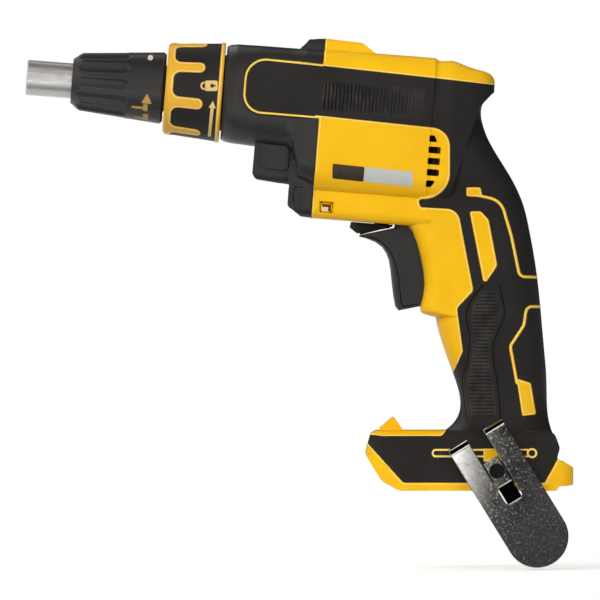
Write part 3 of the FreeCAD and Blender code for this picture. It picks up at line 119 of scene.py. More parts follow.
def feed(tree, socket, value):
    """Gives an input a plain value, or links another node's output to it."""
    if isinstance(value, bpy.types.NodeSocket):
        tree.links.new(value, socket)
    else:
        socket.default_value = value


def set_inputs(tree, node, **values):
    """Feeds a node's inputs by name, with an underscore for each space."""
    for key, value in values.items():
        feed(tree, node.inputs[key.replace("_", " ")], value)
    return node


def add_node(tree, kind, **values):
    """Adds a node. Names in small letters are its settings, the others its inputs."""
    node = tree.nodes.new(kind)
    for key, value in values.items():
        if key.islower():
            setattr(node, key, value)
    return set_inputs(tree, node, **{k: v for k, v in values.items() if not k.islower()})


def combine(tree, operation, first, second=0.0):
    """Maths on two values, each a number or a socket."""
    node = add_node(tree, "ShaderNodeMath", operation=operation)
    feed(tree, node.inputs[0], first)
    feed(tree, node.inputs[1], second)
    return node.outputs[0]


def combine_vectors(tree, operation, first, second):
    """Maths on two vectors, or on a vector and the number that scales it."""
    node = add_node(tree, "ShaderNodeVectorMath", operation=operation)
    feed(tree, node.inputs[0], first)
    feed(tree, node.inputs["Scale" if operation == "SCALE" else 1], second)
    return node.outputs[0]


def spread(tree, value, low, high, start=0.3, end=0.7):
    """Maps start..end of a value to low..high."""
    node = add_node(
        tree, "ShaderNodeMapRange", Value=value, From_Min=start, From_Max=end,
        To_Min=low, To_Max=high,
    )
    return node.outputs["Result"]


def part_of(tree, place, axis):
    """One coordinate of a place."""
    return add_node(tree, "ShaderNodeSeparateXYZ", Vector=place).outputs[axis]


print("node kit ready")

# %% [markdown]
# Every material starts from Object coordinates, so its grain keeps its real size in millimetres
# whatever piece wears it. A Bevel node rounds the shading of hard edges a little, the way a
# mould rounds them, which is far cheaper than bevelling every CAD mesh.

# %% What the materials share
EDGE_SAMPLES = 6
SEAM_HALF = 0.2


def new_finish(name):
    """An empty node material with its shader and its Object coordinates."""
    material = bpy.data.materials.new(name)
    material.use_nodes = True
    tree = material.node_tree
    shader = tree.nodes["Principled BSDF"]
    place = tree.nodes.new("ShaderNodeTexCoord").outputs["Object"]
    return material, tree, shader, place


def grain(tree, place, size_mm, detail=2.0, rough=0.5):
    """Noise whose lumps are about size_mm across."""
    noise = add_node(
        tree, "ShaderNodeTexNoise", Vector=place, Scale=1.0 / (size_mm * MM),
        Detail=detail, Roughness=rough,
    )
    return noise.outputs["Fac"]


def mix_colour(tree, factor, first, second):
    """Mixes two colours, each a plain colour or a socket, by a factor."""
    mix = add_node(tree, "ShaderNodeMix", data_type="RGBA", Factor=factor)
    sockets = [socket for socket in mix.inputs if socket.type == "RGBA"]
    for socket, colour in zip(sockets, (first, second)):
        feed(tree, socket, colour + (1.0,) if isinstance(colour, tuple) else colour)
    return [socket for socket in mix.outputs if socket.type == "RGBA"][0]


def rounded_edges(tree, radius_mm):
    """The soft highlight of a moulded or broken edge."""
    bevel = add_node(tree, "ShaderNodeBevel", samples=EDGE_SAMPLES, Radius=radius_mm * MM)
    return bevel.outputs["Normal"]


def bump(tree, height, distance_mm, strength, normal):
    """Bends a normal by a height."""
    node = add_node(
        tree, "ShaderNodeBump", Strength=strength, Distance=distance_mm * MM,
        Height=height, Normal=normal,
    )
    return node.outputs["Normal"]


def seam_line(tree, place):
    """1 along the middle plane, where the two housing halves meet, and 0 elsewhere."""
    away = combine(tree, "ABSOLUTE", part_of(tree, place, "Y"))
    return spread(tree, away, 1.0, 0.0, SEAM_HALF * MM * 0.6, SEAM_HALF * MM)


print("material kit ready")

# %% [markdown]
# Moulded plastic first. Two close tones drift over the piece, a fine spark-eroded grain bends
# the normal, and scuffs make some patches a little shinier. Corners that many hands and
# benches touch are worn paler: the Geometry node's Pointiness isn't stable on CAD meshes, so
# an Ambient Occlusion node turned outside in is used to find the edges instead. Metals get
# streaks of noise, stretched along the barrel where the real piece was brushed.

# %% Moulded and metal finishes
TONE_MM, WEAR_MM, SCUFF_MM, SMEAR_MM = 18.0, 9.0, 26.0, 7.0
WORN_REACH = 1.2
SEAM_SHADE = 0.3
GRAIN_BUMP = 0.4
STREAK_DEPTH = 0.02


def moulded(
    name, light, dark, roughness, grain_mm, grain_depth, edge_mm,
    seam=False, sheen=0.5, worn=None,
):
    """A moulded plastic or rubber: two tones, a spark-eroded grain and soft, worn edges."""
    material, tree, shader, place = new_finish(name)
    drift = spread(tree, grain(tree, place, TONE_MM, 3.0), 0.0, 1.0)
    tone = mix_colour(tree, drift, light, dark)
    fine = grain(tree, place, grain_mm, 2.0, 0.6)
    if worn is not None:
        inside = add_node(
            tree, "ShaderNodeAmbientOcclusion", inside=True, samples=EDGE_SAMPLES,
            Distance=WORN_REACH * MM,
        )
        thin = spread(tree, inside.outputs["AO"], 0.55, 0.0, 0.1, 0.55)
        patch = spread(tree, grain(tree, place, WEAR_MM, 4.0, 0.6), 0.0, 1.0, 0.42, 0.62)
        tone = mix_colour(tree, combine(tree, "MULTIPLY", thin, patch), tone, worn)
    if seam:
        shade = tuple(channel * SEAM_SHADE for channel in dark)
        tone = mix_colour(tree, seam_line(tree, place), tone, shade)
    scuff = spread(tree, grain(tree, place, SCUFF_MM, 4.0, 0.6), -0.05, 0.06)
    shine = spread(tree, fine, roughness - 0.05, roughness + 0.07)
    edges = rounded_edges(tree, edge_mm)
    set_inputs(
        tree, shader, Base_Color=tone, Roughness=combine(tree, "ADD", shine, scuff),
        Normal=bump(tree, fine, grain_depth, GRAIN_BUMP, edges), Specular_IOR_Level=sheen,
    )
    return material


def metal(
    name, light, dark, roughness, brush_mm, edge_mm, stretch=(1, 1, 1), scratch=0.25, bare=1.0
):
    """A metal whose streaks run where the stretch is smallest; a matt plating lowers bare."""
    material, tree, shader, place = new_finish(name)
    turned = add_node(
        tree, "ShaderNodeMapping", Vector=place, Rotation=(0, -TILT, 0), Scale=stretch
    )
    streak = grain(tree, turned.outputs["Vector"], brush_mm, 4.0, 0.65)
    tone = mix_colour(tree, spread(tree, streak, 0.0, 1.0), light, dark)
    smear = spread(tree, grain(tree, place, SMEAR_MM, 3.0), -0.04, 0.05)
    shine = spread(tree, streak, roughness - 0.05, roughness + 0.08)
    edges = rounded_edges(tree, edge_mm)
    set_inputs(
        tree, shader, Metallic=bare, Base_Color=tone,
        Roughness=combine(tree, "ADD", shine, smear),
        Normal=bump(tree, streak, STREAK_DEPTH, scratch, edges),
    )
    return material


def sprung_sheet(name):
    """Bright spring steel, rubbed by belts: fine pale flecks and dull patches on a mirror."""
    material, tree, shader, place = new_finish(name)
    flecks = spread(tree, grain(tree, place, 1.4, 5.0, 0.7), 0.0, 0.9, 0.53, 0.76)
    dull = spread(tree, grain(tree, place, 7.0, 4.0, 0.6), 0.0, 1.0)
    tone = mix_colour(tree, dull, (0.52, 0.52, 0.51), (0.36, 0.37, 0.38))
    smooth = spread(tree, dull, 0.03, 0.06, 0.0, 1.0)
    rubbed = combine(tree, "MULTIPLY", flecks, 0.16)
    dents = grain(tree, place, 2.5, 3.0)
    set_inputs(
        tree, shader, Metallic=1.0,
        Base_Color=mix_colour(tree, flecks, tone, (0.74, 0.78, 0.82)),
        Roughness=combine(tree, "ADD", smooth, rubbed),
        Normal=bump(tree, dents, 0.004, 0.2, rounded_edges(tree, 0.5)),
    )
    return material


def clear_lens(name):
    """A frosted clear window, tinted a little by its thickness."""
    material, tree, shader, place = new_finish(name)
    frost = grain(tree, place, 0.5, 2.0)
    set_inputs(
        tree, shader, Base_Color=(0.88, 0.92, 0.94, 1), Transmission_Weight=0.8, IOR=1.49,
        Roughness=spread(tree, frost, 0.12, 0.22),
        Normal=bump(tree, frost, 0.02, 0.3, rounded_edges(tree, 0.3)),
    )
    return material


print("finish makers ready")

# %% [markdown]
# The finishes. The yellow is a dense, slightly glossy nylon; the grips are a softer, duller
# rubber; the gear case is a satin glass-filled nylon. Inks and foils are thin, so their edges
# are hardly rounded. Metals differ by polish, and the nose tube is brushed and plated matt.
# A table keeps them side by side, where they are easy to compare and tune.

# %% Finishes
YELLOW, YELLOW_DEEP = (0.95, 0.535, 0.006), (0.90, 0.48, 0.004)
GOLD, GOLD_DEEP = (0.84, 0.46, 0.035), (0.76, 0.40, 0.028)
RUBBER, RUBBER_DEEP = (0.0240, 0.0215, 0.0200), (0.0190, 0.0168, 0.0156)
NYLON, NYLON_DEEP = (0.0270, 0.0252, 0.0238), (0.0220, 0.0205, 0.0195)
SCUFFED = (0.065, 0.060, 0.055)
PRINTED = (0.45, 0.5, 0.02, 0.05)
BEAD = (0.3, 0.4, 0.01, 0.1, False, 0.4)

# light, dark, roughness, grain mm, grain depth mm, edge mm, seam, sheen, worn
MOULDED = {
    "housing_yellow": (YELLOW, YELLOW_DEEP, 0.32, 0.35, 0.03, 0.5, True, 0.22),
    "collar_yellow": (GOLD, GOLD_DEEP, 0.32, 0.35, 0.02, 0.4, False, 0.3),
    "grip_black": (RUBBER, RUBBER_DEEP, 0.50, 0.3, 0.05, 0.5, True, 0.2, SCUFFED),
    "case_black": (NYLON, NYLON_DEEP, 0.36, 0.4, 0.05, 1.3, False, 0.45, SCUFFED),
    "trigger_black": (NYLON, NYLON_DEEP, 0.34, 0.35, 0.03, 1.0, False, 0.45, SCUFFED),
    "inner_plastic": ((0.05, 0.05, 0.052), (0.04, 0.04, 0.042), 0.5, 0.4, 0.04, 0.3),
    "board_green": ((0.02, 0.1, 0.045), (0.015, 0.08, 0.035), 0.25, 0.8, 0.02, 0.2),
    # painted shade for grooves, gaps between ribs, rib borders and the trigger's crease
    "painted_groove_shade": (
        (0.0045, 0.0040, 0.0038), (0.0035, 0.0032, 0.0030), 0.6, 0.4, 0.02, 0.1, False, 0.1,
    ),
    # paler beads: painted highlights on the yellow and gold rims
    "rim_yellow_painted_highlight": ((1.0, 0.77, 0.22), (0.98, 0.70, 0.15), *BEAD),
    "rim_gold_painted_highlight": ((0.96, 0.70, 0.28), (0.90, 0.62, 0.20), *BEAD),
    # paler black beads: wear and painted highlight on sharp edges
    "rim_black_wear_and_painted_highlight": (
        (0.060, 0.056, 0.052), (0.042, 0.039, 0.036), 0.35, 0.4, 0.02, 0.1, False, 0.4,
    ),
    "felt_dark": (
        (0.012, 0.011, 0.010), (0.006, 0.006, 0.005), 0.9, 0.3, 0.08, 0.05, False, 0.1,
    ),
    "ink_cream": ((0.80, 0.56, 0.22), (0.70, 0.46, 0.15), *PRINTED),
    "ink_amber": ((0.52, 0.32, 0.075), (0.40, 0.24, 0.05), *PRINTED),
    # pale print, also used as painted light on the lock button's face
    "pale_ink_and_painted_light": ((0.80, 0.62, 0.50), (0.70, 0.52, 0.40), *PRINTED),
    # painted shadow inside the lock button's well
    "painted_well_shade": (
        (0.16, 0.055, 0.004), (0.11, 0.036, 0.003), 0.5, 0.4, 0.02, 0.1, False, 0.1,
    ),
    "foil_dark": ((0.045, 0.032, 0.016), (0.035, 0.024, 0.012), 0.3, 1.5, 0.01, 0.05),
    "foil_pale": ((0.56, 0.56, 0.53), (0.50, 0.50, 0.47), 0.3, 1.5, 0.01, 0.05),
}

# light, dark, roughness, brush mm, edge mm, stretch, scratch, bare
METALS = {
    "screw_black": ((0.06, 0.06, 0.062), (0.035, 0.035, 0.036), 0.38, 0.6, 0.2),
    "steel": (
        (0.72, 0.71, 0.69), (0.62, 0.61, 0.59), 0.29, 0.5, 0.2, (0.08, 1, 1), 0.02, 0.75,
    ),
    "gear_steel": ((0.42, 0.42, 0.43), (0.3, 0.3, 0.31), 0.3, 0.5, 0.15),
    "bearing_steel": ((0.62, 0.62, 0.63), (0.5, 0.5, 0.51), 0.2, 0.5, 0.15),
    "bronze": ((0.55, 0.34, 0.16), (0.42, 0.25, 0.1), 0.4, 0.5, 0.15),
    "brass": ((0.72, 0.5, 0.2), (0.6, 0.4, 0.14), 0.28, 0.5, 0.15),
    "copper": ((0.7, 0.33, 0.17), (0.55, 0.23, 0.11), 0.3, 0.5, 0.15),
    "core_iron": ((0.2, 0.2, 0.21), (0.13, 0.13, 0.135), 0.45, 0.5, 0.15),
    "plate_alloy": ((0.6, 0.61, 0.62), (0.5, 0.51, 0.52), 0.4, 0.6, 0.2),
}
finishes = {name: moulded(name, *row) for name, row in MOULDED.items()}
finishes.update({name: metal(name, *row) for name, row in METALS.items()})
finishes["spring_steel"] = sprung_sheet("spring_steel")
finishes["lens_clear"] = clear_lens("lens_clear")
for name, obj in nodes.items():
    obj.data.materials.clear()
    obj.data.materials.append(finishes[node_slot[name]])
print(len(finishes), "finishes for", len(nodes), "CAD pieces and what is laid on them")

# %% [markdown]
# Two geometry-node trees follow, one for ribs and one for rims. Both begin with named inputs
# and end in real geometry that wears a finish. Each is run as a modifier on a holder object;
# the plain mesh it makes is kept as a piece of the tool, and the holder is dropped again.

# %% What both trees share


def new_tree(name, inputs):
    """A geometry-node tree with named inputs and one output; gives its inputs too."""
    tree = bpy.data.node_groups.new(name, "GeometryNodeTree")
    for label, kind in inputs:
        tree.interface.new_socket(label, in_out="INPUT", socket_type="NodeSocket" + kind)
    tree.interface.new_socket("Made", in_out="OUTPUT", socket_type="NodeSocketGeometry")
    return tree, tree.nodes.new("NodeGroupInput").outputs


def end_tree(tree, mesh, finish):
    """Ends a tree with real geometry that wears a finish."""
    real = add_node(tree, "GeometryNodeRealizeInstances", Geometry=mesh).outputs["Geometry"]
    worn = add_node(tree, "GeometryNodeSetMaterial", Geometry=real, Material=finish)
    feed(tree, tree.nodes.new("NodeGroupOutput").inputs[0], worn.outputs["Geometry"])
    return tree


def run_tree(tree, holder, values):
    """Runs a tree on an object, keeps the plain mesh it makes and drops the object."""
    bpy.context.scene.collection.objects.link(holder)
    modifier = holder.modifiers.new("maker", "NODES")
    modifier.node_group = tree
    for socket in tree.interface.items_tree:
        if socket.in_out == "INPUT" and socket.name in values:
            modifier[socket.identifier] = values[socket.name]
    evaluated = holder.evaluated_get(bpy.context.evaluated_depsgraph_get())
    mesh = bpy.data.meshes.new_from_object(evaluated)
    bpy.data.objects.remove(holder)
    return mesh


def add_piece(name, mesh, body, smooth=True):
    """Puts a mesh in the scene as a piece of the tool that rides a body."""
    if smooth:
        mesh.shade_smooth()
    piece = bpy.data.objects.new(name, mesh)
    bpy.context.scene.collection.objects.link(piece)
    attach(piece, body)
    return piece


print("tree helpers ready")

# %% [markdown]
# Ribs are moulded into the grips: fine upright ones on the side band and level ones on the
# handle. The object this tree sits on holds two border curves. The tree runs a line from each
# point of the first border to the same point of the second, drops it on the skin with a
# Raycast, and sweeps a small round along it that thins at its ends.

# %% A node tree that lays ribs on a skin
RIB_POINTS, RIB_SIDES = 28, 8
SWAY_STEP = 2.4
RAY_START, RAY_LENGTH = 0.1, 0.2


def rib_tree():
    """Ribs between two border curves, dropped sideways on a surface."""
    tree, given = new_tree("moulded_ribs", (
        ("Borders", "Geometry"), ("Surface", "Object"), ("Ribs", "Int"), ("Width", "Float"),
        ("Sink", "Float"), ("Side", "Float"), ("Sway", "Float"), ("Waves", "Float"),
        ("Taper", "Float"), ("Fade", "Float"), ("Finish", "Material"),
    ))

    def node(kind, **values):
        return add_node(tree, "GeometryNode" + kind, **values)

    def maths(operation, first, second=0.0):
        return combine(tree, operation, first, second)

    def vectors(operation, first, second):
        return combine_vectors(tree, operation, first, second)

    def along_axis(**parts):
        return add_node(tree, "ShaderNodeCombineXYZ", **parts).outputs[0]

    # One straight line for each rib, whose points know how far along which rib they lie.
    line = node("CurvePrimitiveLine").outputs["Curve"]
    steps = node("ResampleCurve", Curve=line, Count=RIB_POINTS).outputs["Curve"]
    rows = node("DuplicateElements", domain="SPLINE", Geometry=steps, Amount=given["Ribs"])
    marked = node("CaptureAttribute", domain="POINT", Geometry=rows.outputs["Geometry"])
    marked.capture_items.new("FLOAT", "Along")
    marked.capture_items.new("INT", "Rib")
    factor = node("SplineParameter").outputs["Factor"]
    set_inputs(tree, marked, Along=factor, Rib=rows.outputs["Duplicate Index"])
    along, which = marked.outputs["Along"], marked.outputs["Rib"]

    # From the first border to the second, with a faint sideways sway.
    here = node("InputPosition").outputs[0]
    ends = [
        node(
            "SampleIndex", data_type="FLOAT_VECTOR", domain="POINT",
            Geometry=given["Borders"], Value=here, Index=index,
        ).outputs["Value"]
        for index in (which, maths("ADD", which, given["Ribs"]))
    ]
    gap = vectors("SCALE", vectors("SUBTRACT", ends[1], ends[0]), along)
    laid = vectors("ADD", ends[0], gap)
    phase = maths("MULTIPLY", which, SWAY_STEP)
    turn = maths("ADD", maths("MULTIPLY", along, given["Waves"]), phase)
    sway = maths("MULTIPLY", maths("SINE", turn), given["Sway"])
    laid = vectors("ADD", laid, along_axis(X=sway))

    # Down on the skin from the side; points that miss it are dropped.
    outside = along_axis(Y=maths("MULTIPLY", given["Side"], RAY_START))
    ray = node(
        "Raycast", Source_Position=vectors("ADD", laid, outside), Ray_Length=RAY_LENGTH,
        Ray_Direction=along_axis(Y=maths("MULTIPLY", given["Side"], -1.0)),
        Target_Geometry=node("ObjectInfo", Object=given["Surface"]).outputs["Geometry"],
    ).outputs
    depth = vectors("SCALE", ray["Hit Normal"], given["Sink"])
    kept = node(
        "DeleteGeometry", domain="POINT", Geometry=marked.outputs["Geometry"],
        Selection=maths("SUBTRACT", 1.0, ray["Is Hit"]),
    ).outputs["Geometry"]
    placed = node(
        "SetPosition", Geometry=kept, Position=vectors("SUBTRACT", ray["Hit Position"], depth)
    ).outputs["Geometry"]

    # A small round swept along, thinner at both ends and from the first rib to the last.
    nearest_end = maths("MINIMUM", along, maths("SUBTRACT", 1.0, along))
    taper = maths("MINIMUM", maths("MULTIPLY", nearest_end, given["Taper"]), 1.0)
    share = maths("DIVIDE", which, maths("SUBTRACT", given["Ribs"], 1.0))
    fade = maths("SUBTRACT", 1.0, maths("MULTIPLY", share, given["Fade"]))
    ring = node("CurvePrimitiveCircle", Resolution=RIB_SIDES, Radius=given["Width"])
    swept = node(
        "CurveToMesh", Curve=placed, Profile_Curve=ring.outputs["Curve"],
        Scale=maths("MULTIPLY", taper, fade), Fill_Caps=True,
    )
    return end_tree(tree, swept.outputs["Mesh"], given["Finish"])


RIBS = rib_tree()


def lay_ribs(
    name, borders, surface, side, width_mm, sink_mm, sway_mm=0.0, waves=0.0, taper=7.0,
    fade=0.0, finish=None, body="tool_body",
):
    """Runs the rib tree between two borders of (x, z) points in mm."""
    curve = bpy.data.curves.new(name + "_borders", "CURVE")
    curve.dimensions = "3D"
    for border in borders:
        spline = curve.splines.new("POLY")
        spline.points.add(len(border) - 1)
        for point, (x, z) in zip(spline.points, border):
            point.co = (x * MM, 0, z * MM, 1)
    mesh = run_tree(RIBS, bpy.data.objects.new(name + "_borders", curve), {
        "Surface": nodes[surface], "Ribs": len(borders[0]), "Width": width_mm * MM,
        "Sink": sink_mm * MM, "Side": float(side), "Sway": sway_mm * MM, "Waves": waves,
        "Taper": taper, "Fade": fade, "Finish": finishes[finish or node_slot[surface]],
    })
    add_piece(name, mesh, body)
    return len(mesh.polygons)


print("rib tree has", len(RIBS.nodes), "nodes")

# %% [markdown]
# The band carries a row of upright, faintly waving ribs that die away towards the back. The
# handle's ribs lie level between two curved borders, and each border is a line of painted shade
# too. The trigger has one fine crease down each side, drawn as a line of painted shade. A dark
# thread between two ribs is painted shadow of a gap that is too narrow to cut. Both halves are
# moulded alike, so the same numbers serve the left and the right.

# %% Ribs on band and handle, and painted shade in their gaps, borders and the trigger's crease
BAND_PITCH, BAND_START, BAND_RIBS = 1.75, 47.2, 28
BAND_HIGH, BAND_LOW = 10.4, -6.4
BAND_SWAY = {"sway_mm": 0.14, "waves": 6.0}
LEVEL_PITCH, LEVEL_TOP, LEVEL_RIBS, LEVEL_MARGIN = 1.7, 94.0, 35, 1.0
NO_TAPER = 999.0
FRONT_BORDER = [
    (5.9, 97.5), (-0.5, 89.5), (-2.4, 81.7), (-0.7, 72.0),
    (-2.0, 61.0), (-4.3, 52.2), (-3.4, 43.0), (-2.4, 33.5),
]
BACK_BORDER = [
    (13.0, 97.5), (15.0, 89.5), (15.4, 81.7), (10.6, 70.0),
    (10.6, 61.0), (12.3, 52.2), (13.2, 43.0), (13.8, 33.5),
]
TRIGGER_CREASE = [
    (-49.4, 120.4), (-44.2, 118.6), (-40.4, 115.4), (-37.3, 111.2), (-35.6, 106.4),
    (-34.4, 99.8), (-33.7, 94.0), (-33.1, 88.9), (-32.6, 87.6), (-31.4, 87.3),
    (-28.4, 87.8), (-25.4, 88.4),
]


def at_level(border, z):
    """Where a border, given from its top down, is at height z."""
    for (x0, z0), (x1, z1) in zip(border, border[1:]):
        if z0 >= z >= z1:
            return x0 + (x1 - x0) * (z0 - z) / (z0 - z1)
    return border[-1][0]


def eased(border, steps=6):
    """A smooth line through the points of a border."""
    padded = [border[0]] + border + [border[-1]]
    line = []
    for corners in zip(padded, padded[1:], padded[2:], padded[3:]):
        for i in range(steps):
            t = i / steps
            line.append(tuple(
                0.5 * (
                    2 * b + (c - a) * t + (2 * a - 5 * b + 4 * c - d) * t * t
                    + (3 * b - a - 3 * c + d) * t ** 3
                )
                for a, b, c, d in zip(*corners)
            ))
    return line + [border[-1]]


def lay_line(name, line, surface, side, width_mm, sink_mm, body="tool_body"):
    """A line of painted shade along a path: one dark rib from each point to the next."""
    return lay_ribs(
        name, [line[:-1], line[1:]], surface, side, width_mm, sink_mm,
        taper=NO_TAPER, finish="painted_groove_shade", body=body,
    )


front, back = eased(FRONT_BORDER), eased(BACK_BORDER)
starts = [BAND_START + i * BAND_PITCH for i in range(BAND_RIBS)]
levels = [LEVEL_TOP - i * LEVEL_PITCH for i in range(LEVEL_RIBS)]
upright = [on_barrel([(u, w) for u in starts]) for w in (BAND_HIGH, BAND_LOW)]
upright_gap_shades = [
    on_barrel([(u + BAND_PITCH / 2, w) for u in starts]) for w in (BAND_HIGH, BAND_LOW)
]
level = [
    [(at_level(front, z) + LEVEL_MARGIN, z) for z in levels],
    [(at_level(back, z) - LEVEL_MARGIN, z) for z in levels],
]
level_gap_shades = [[(x, z - LEVEL_PITCH / 2) for x, z in border] for border in level]
faces = 0
# the gap, crease and border lines are painted shade
for side, hand in ((-1, "left"), (1, "right")):
    grip = hand + "_grip"
    faces += lay_ribs(
        f"{hand}_band_ribs", upright, grip, side, width_mm=0.6, sink_mm=0.28,
        taper=8.0, fade=0.5, **BAND_SWAY,
    )
    faces += lay_ribs(
        f"{hand}_band_gaps", upright_gap_shades, grip, side, width_mm=0.32, sink_mm=0.14,
        taper=6.0, fade=0.6, finish="painted_groove_shade", **BAND_SWAY,
    )
    faces += lay_ribs(
        f"{hand}_handle_ribs", level, grip, side, width_mm=0.8, sink_mm=0.62
    )
    faces += lay_ribs(
        f"{hand}_handle_gaps", level_gap_shades, grip, side, width_mm=0.3, sink_mm=0.24,
        finish="painted_groove_shade",
    )
    faces += lay_line(
        f"{hand}_trigger_crease", eased(TRIGGER_CREASE), "trigger", side,
        width_mm=0.36, sink_mm=0.2, body="trigger_body",
    )
    for edge, line in (("front", front), ("back", back)):
        faces += lay_line(
            f"{hand}_rib_border_{edge}", line, grip, side, width_mm=0.42, sink_mm=0.28
        )
print("ribs laid with", faces, "faces")

# %% [markdown]
# Where black meets yellow, the yellow is moulded proud with a rounded rim. The second tree makes
# it: it keeps the sharp edges of one piece that lie close to another piece's skin, moves them a
# little way over that skin, and sweeps a thin round along them. The paler yellow of that round
# is a painted highlight on the rim. The mesh is merged first, because CAD triangles come loose.

# %% A node tree for rims
RIM_SIDES = 6


def rim_tree():
    """A thin bead on a surface, beside the sharp edges of a mesh."""
    tree, given = new_tree("rim_lines", (
        ("Mesh", "Geometry"), ("Surface", "Object"), ("Radius", "Float"), ("Sink", "Float"),
        ("Offset", "Float"), ("Sharp", "Float"), ("Finish", "Material"),
    ))

    def node(kind, **values):
        return add_node(tree, "GeometryNode" + kind, **values)

    def vectors(operation, first, second):
        return combine_vectors(tree, operation, first, second)

    # Each edge point is moved out by the offset, and looks for the skin nearest to it.
    merged = node("MergeByDistance", Geometry=given["Mesh"], Distance=MERGE)
    here = node("InputPosition").outputs[0]
    normal = node("InputNormal").outputs[0]
    marked = node("CaptureAttribute", domain="POINT", Geometry=merged.outputs["Geometry"])
    marked.capture_items.new("VECTOR", "Outward")
    set_inputs(tree, marked, Outward=normal)
    moved = vectors("SCALE", marked.outputs["Outward"], given["Offset"])
    beside = vectors("ADD", here, moved)
    skin = node("ObjectInfo", Object=given["Surface"]).outputs["Geometry"]
    nearest = node("Proximity", Source_Position=beside)
    feed(tree, nearest.inputs[0], skin)

    # Only sharp edges close to that skin are kept.
    close = combine(tree, "LESS_THAN", nearest.outputs["Distance"], given["Offset"])
    angle = node("InputMeshEdgeAngle").outputs["Unsigned Angle"]
    sharp = combine(tree, "GREATER_THAN", angle, given["Sharp"])
    lines = node(
        "MeshToCurve", Mesh=marked.outputs["Geometry"],
        Selection=combine(tree, "MULTIPLY", close, sharp),
    ).outputs["Curve"]

    # They are laid on the skin, sunk a little, and swept.
    facing = node(
        "SampleNearestSurface", data_type="FLOAT_VECTOR", Mesh=skin, Value=normal,
        Sample_Position=beside,
    ).outputs["Value"]
    depth = vectors("SCALE", facing, given["Sink"])
    resting = vectors("SUBTRACT", nearest.outputs["Position"], depth)
    laid = node("SetPosition", Geometry=lines, Position=resting).outputs["Geometry"]
    ring = node("CurvePrimitiveCircle", Resolution=RIM_SIDES, Radius=given["Radius"])
    swept = node(
        "CurveToMesh", Curve=laid, Profile_Curve=ring.outputs["Curve"], Fill_Caps=True
    )
    return end_tree(tree, swept.outputs["Mesh"], given["Finish"])


RIMS = rim_tree()


def lay_rim(name, edges_of, surface, body, slot, finish, radius_mm, sink_mm, offset_mm, sharp):
    """Runs the rim tree on a copy of one piece's mesh, and keeps inside the CAD's box."""
    carrier = bpy.data.objects.new(name + "_edges", nodes[edges_of].data.copy())
    mesh = run_tree(RIMS, carrier, {
        "Surface": nodes[surface], "Radius": radius_mm * MM, "Sink": sink_mm * MM,
        "Offset": offset_mm * MM, "Sharp": sharp, "Finish": finishes[finish],
    })
    low, high = cad_box
    for vertex in mesh.vertices:
        for axis in range(3):
            vertex.co[axis] = max(low[axis], min(high[axis], vertex.co[axis]))
    add_piece(name, mesh, body)
    return len(mesh.polygons)


print("rim tree has", len(RIMS.nodes), "nodes")

# %% [markdown]
# The black grips and the gear case leave their outlines on the yellow housing, and the collar's
# pads leave theirs on the collar. The same tree draws the edges of the sleeve and of the gear
# case in a paler black, partly as wear and partly as painted highlight: there a piece lends its
# edges to itself, and the bead hardly moves.

# %% Rims round the yellow and paler black edges, both with painted highlights
PROUD = {"radius_mm": 0.34, "sink_mm": 0.20, "sharp": 0.9}
WORN_AND_HIGHLIT = {"radius_mm": 0.26, "sink_mm": 0.18, "offset_mm": 0.05}
faces = 0
# the yellow and gold beads are painted highlights
for hand in ("left", "right"):
    for part, edges_of in (("grip", hand + "_grip"), ("case", "gear_case")):
        faces += lay_rim(
            f"{hand}_{part}_rim", edges_of, hand + "_housing", "tool_body", "housing_yellow",
            "rim_yellow_painted_highlight", offset_mm=0.95, **PROUD,
        )
faces += lay_rim(
    "collar_rim", "collar_grip", "lock_collar", "collar_body", "collar_yellow", "rim_gold_painted_highlight",
    offset_mm=0.9, **PROUD,
)
# paler edges of sleeve and gear case: partly wear, partly painted highlight
for name, part, body, sharp in (
    ("sleeve_rim", "depth_sleeve", "sleeve_body", 0.3),
    ("case_rim", "gear_case", "tool_body", 0.5),
):
    faces += lay_rim(name, part, part, body, "case_black", "rim_black_wear_and_painted_highlight", sharp=sharp, **WORN_AND_HIGHLIT)
print("rims laid with", faces, "faces")

# %% [markdown]
# Behind the fan a felt ring keeps dust out of the rear bearing. It is a plain flat ring, so it
# is spun point by point; through the vents it also makes the motor's space look dark.

# %% Felt ring behind the fan
MOTOR_DROP = 24.8
FELT_FRONT, FELT_BACK = 102.6, 102.85
FELT_INNER, FELT_OUTER = 9.5, 16.8
RING_POINTS = 48


def plain_mesh(name, shape, finish):
    """Turns an edit mesh into a plain one that wears a finish."""
    mesh = bpy.data.meshes.new(name)
    shape.to_mesh(mesh)
    shape.free()
    mesh.materials.append(finishes[finish])
    return mesh


shape = bmesh.new()
turns = [2 * math.pi * i / RING_POINTS for i in range(RING_POINTS)]
loops = []
for radius, u in (
    (FELT_INNER, FELT_FRONT), (FELT_OUTER, FELT_FRONT),
    (FELT_OUTER, FELT_BACK), (FELT_INNER, FELT_BACK),
):
    loops.append([
        shape.verts.new(barrel(u, radius * math.sin(t) - MOTOR_DROP, radius * math.cos(t)))
        for t in turns
    ])
for low, high in zip(loops, loops[1:] + loops[:1]):
    for i in range(RING_POINTS):
        j = (i + 1) % RING_POINTS
        shape.faces.new([low[i], low[j], high[j], high[i]])
bmesh.ops.recalc_face_normals(shape, faces=shape.faces)
mesh = plain_mesh("fan_felt", shape, "felt_dark")
add_piece("fan_felt", mesh, "tool_body", False)
print("felt ring made of", len(mesh.polygons), "faces")

# %% [markdown]
# The clutch spring sits round the spindle, between the clutch jaw and the drive gear. Pushing
# a screw home drives the spindle back and squeezes it. A rigid coil would be driven into the
# gear; here a merged copy of it, with a mesh of its own, stands in and rides with the spindle.

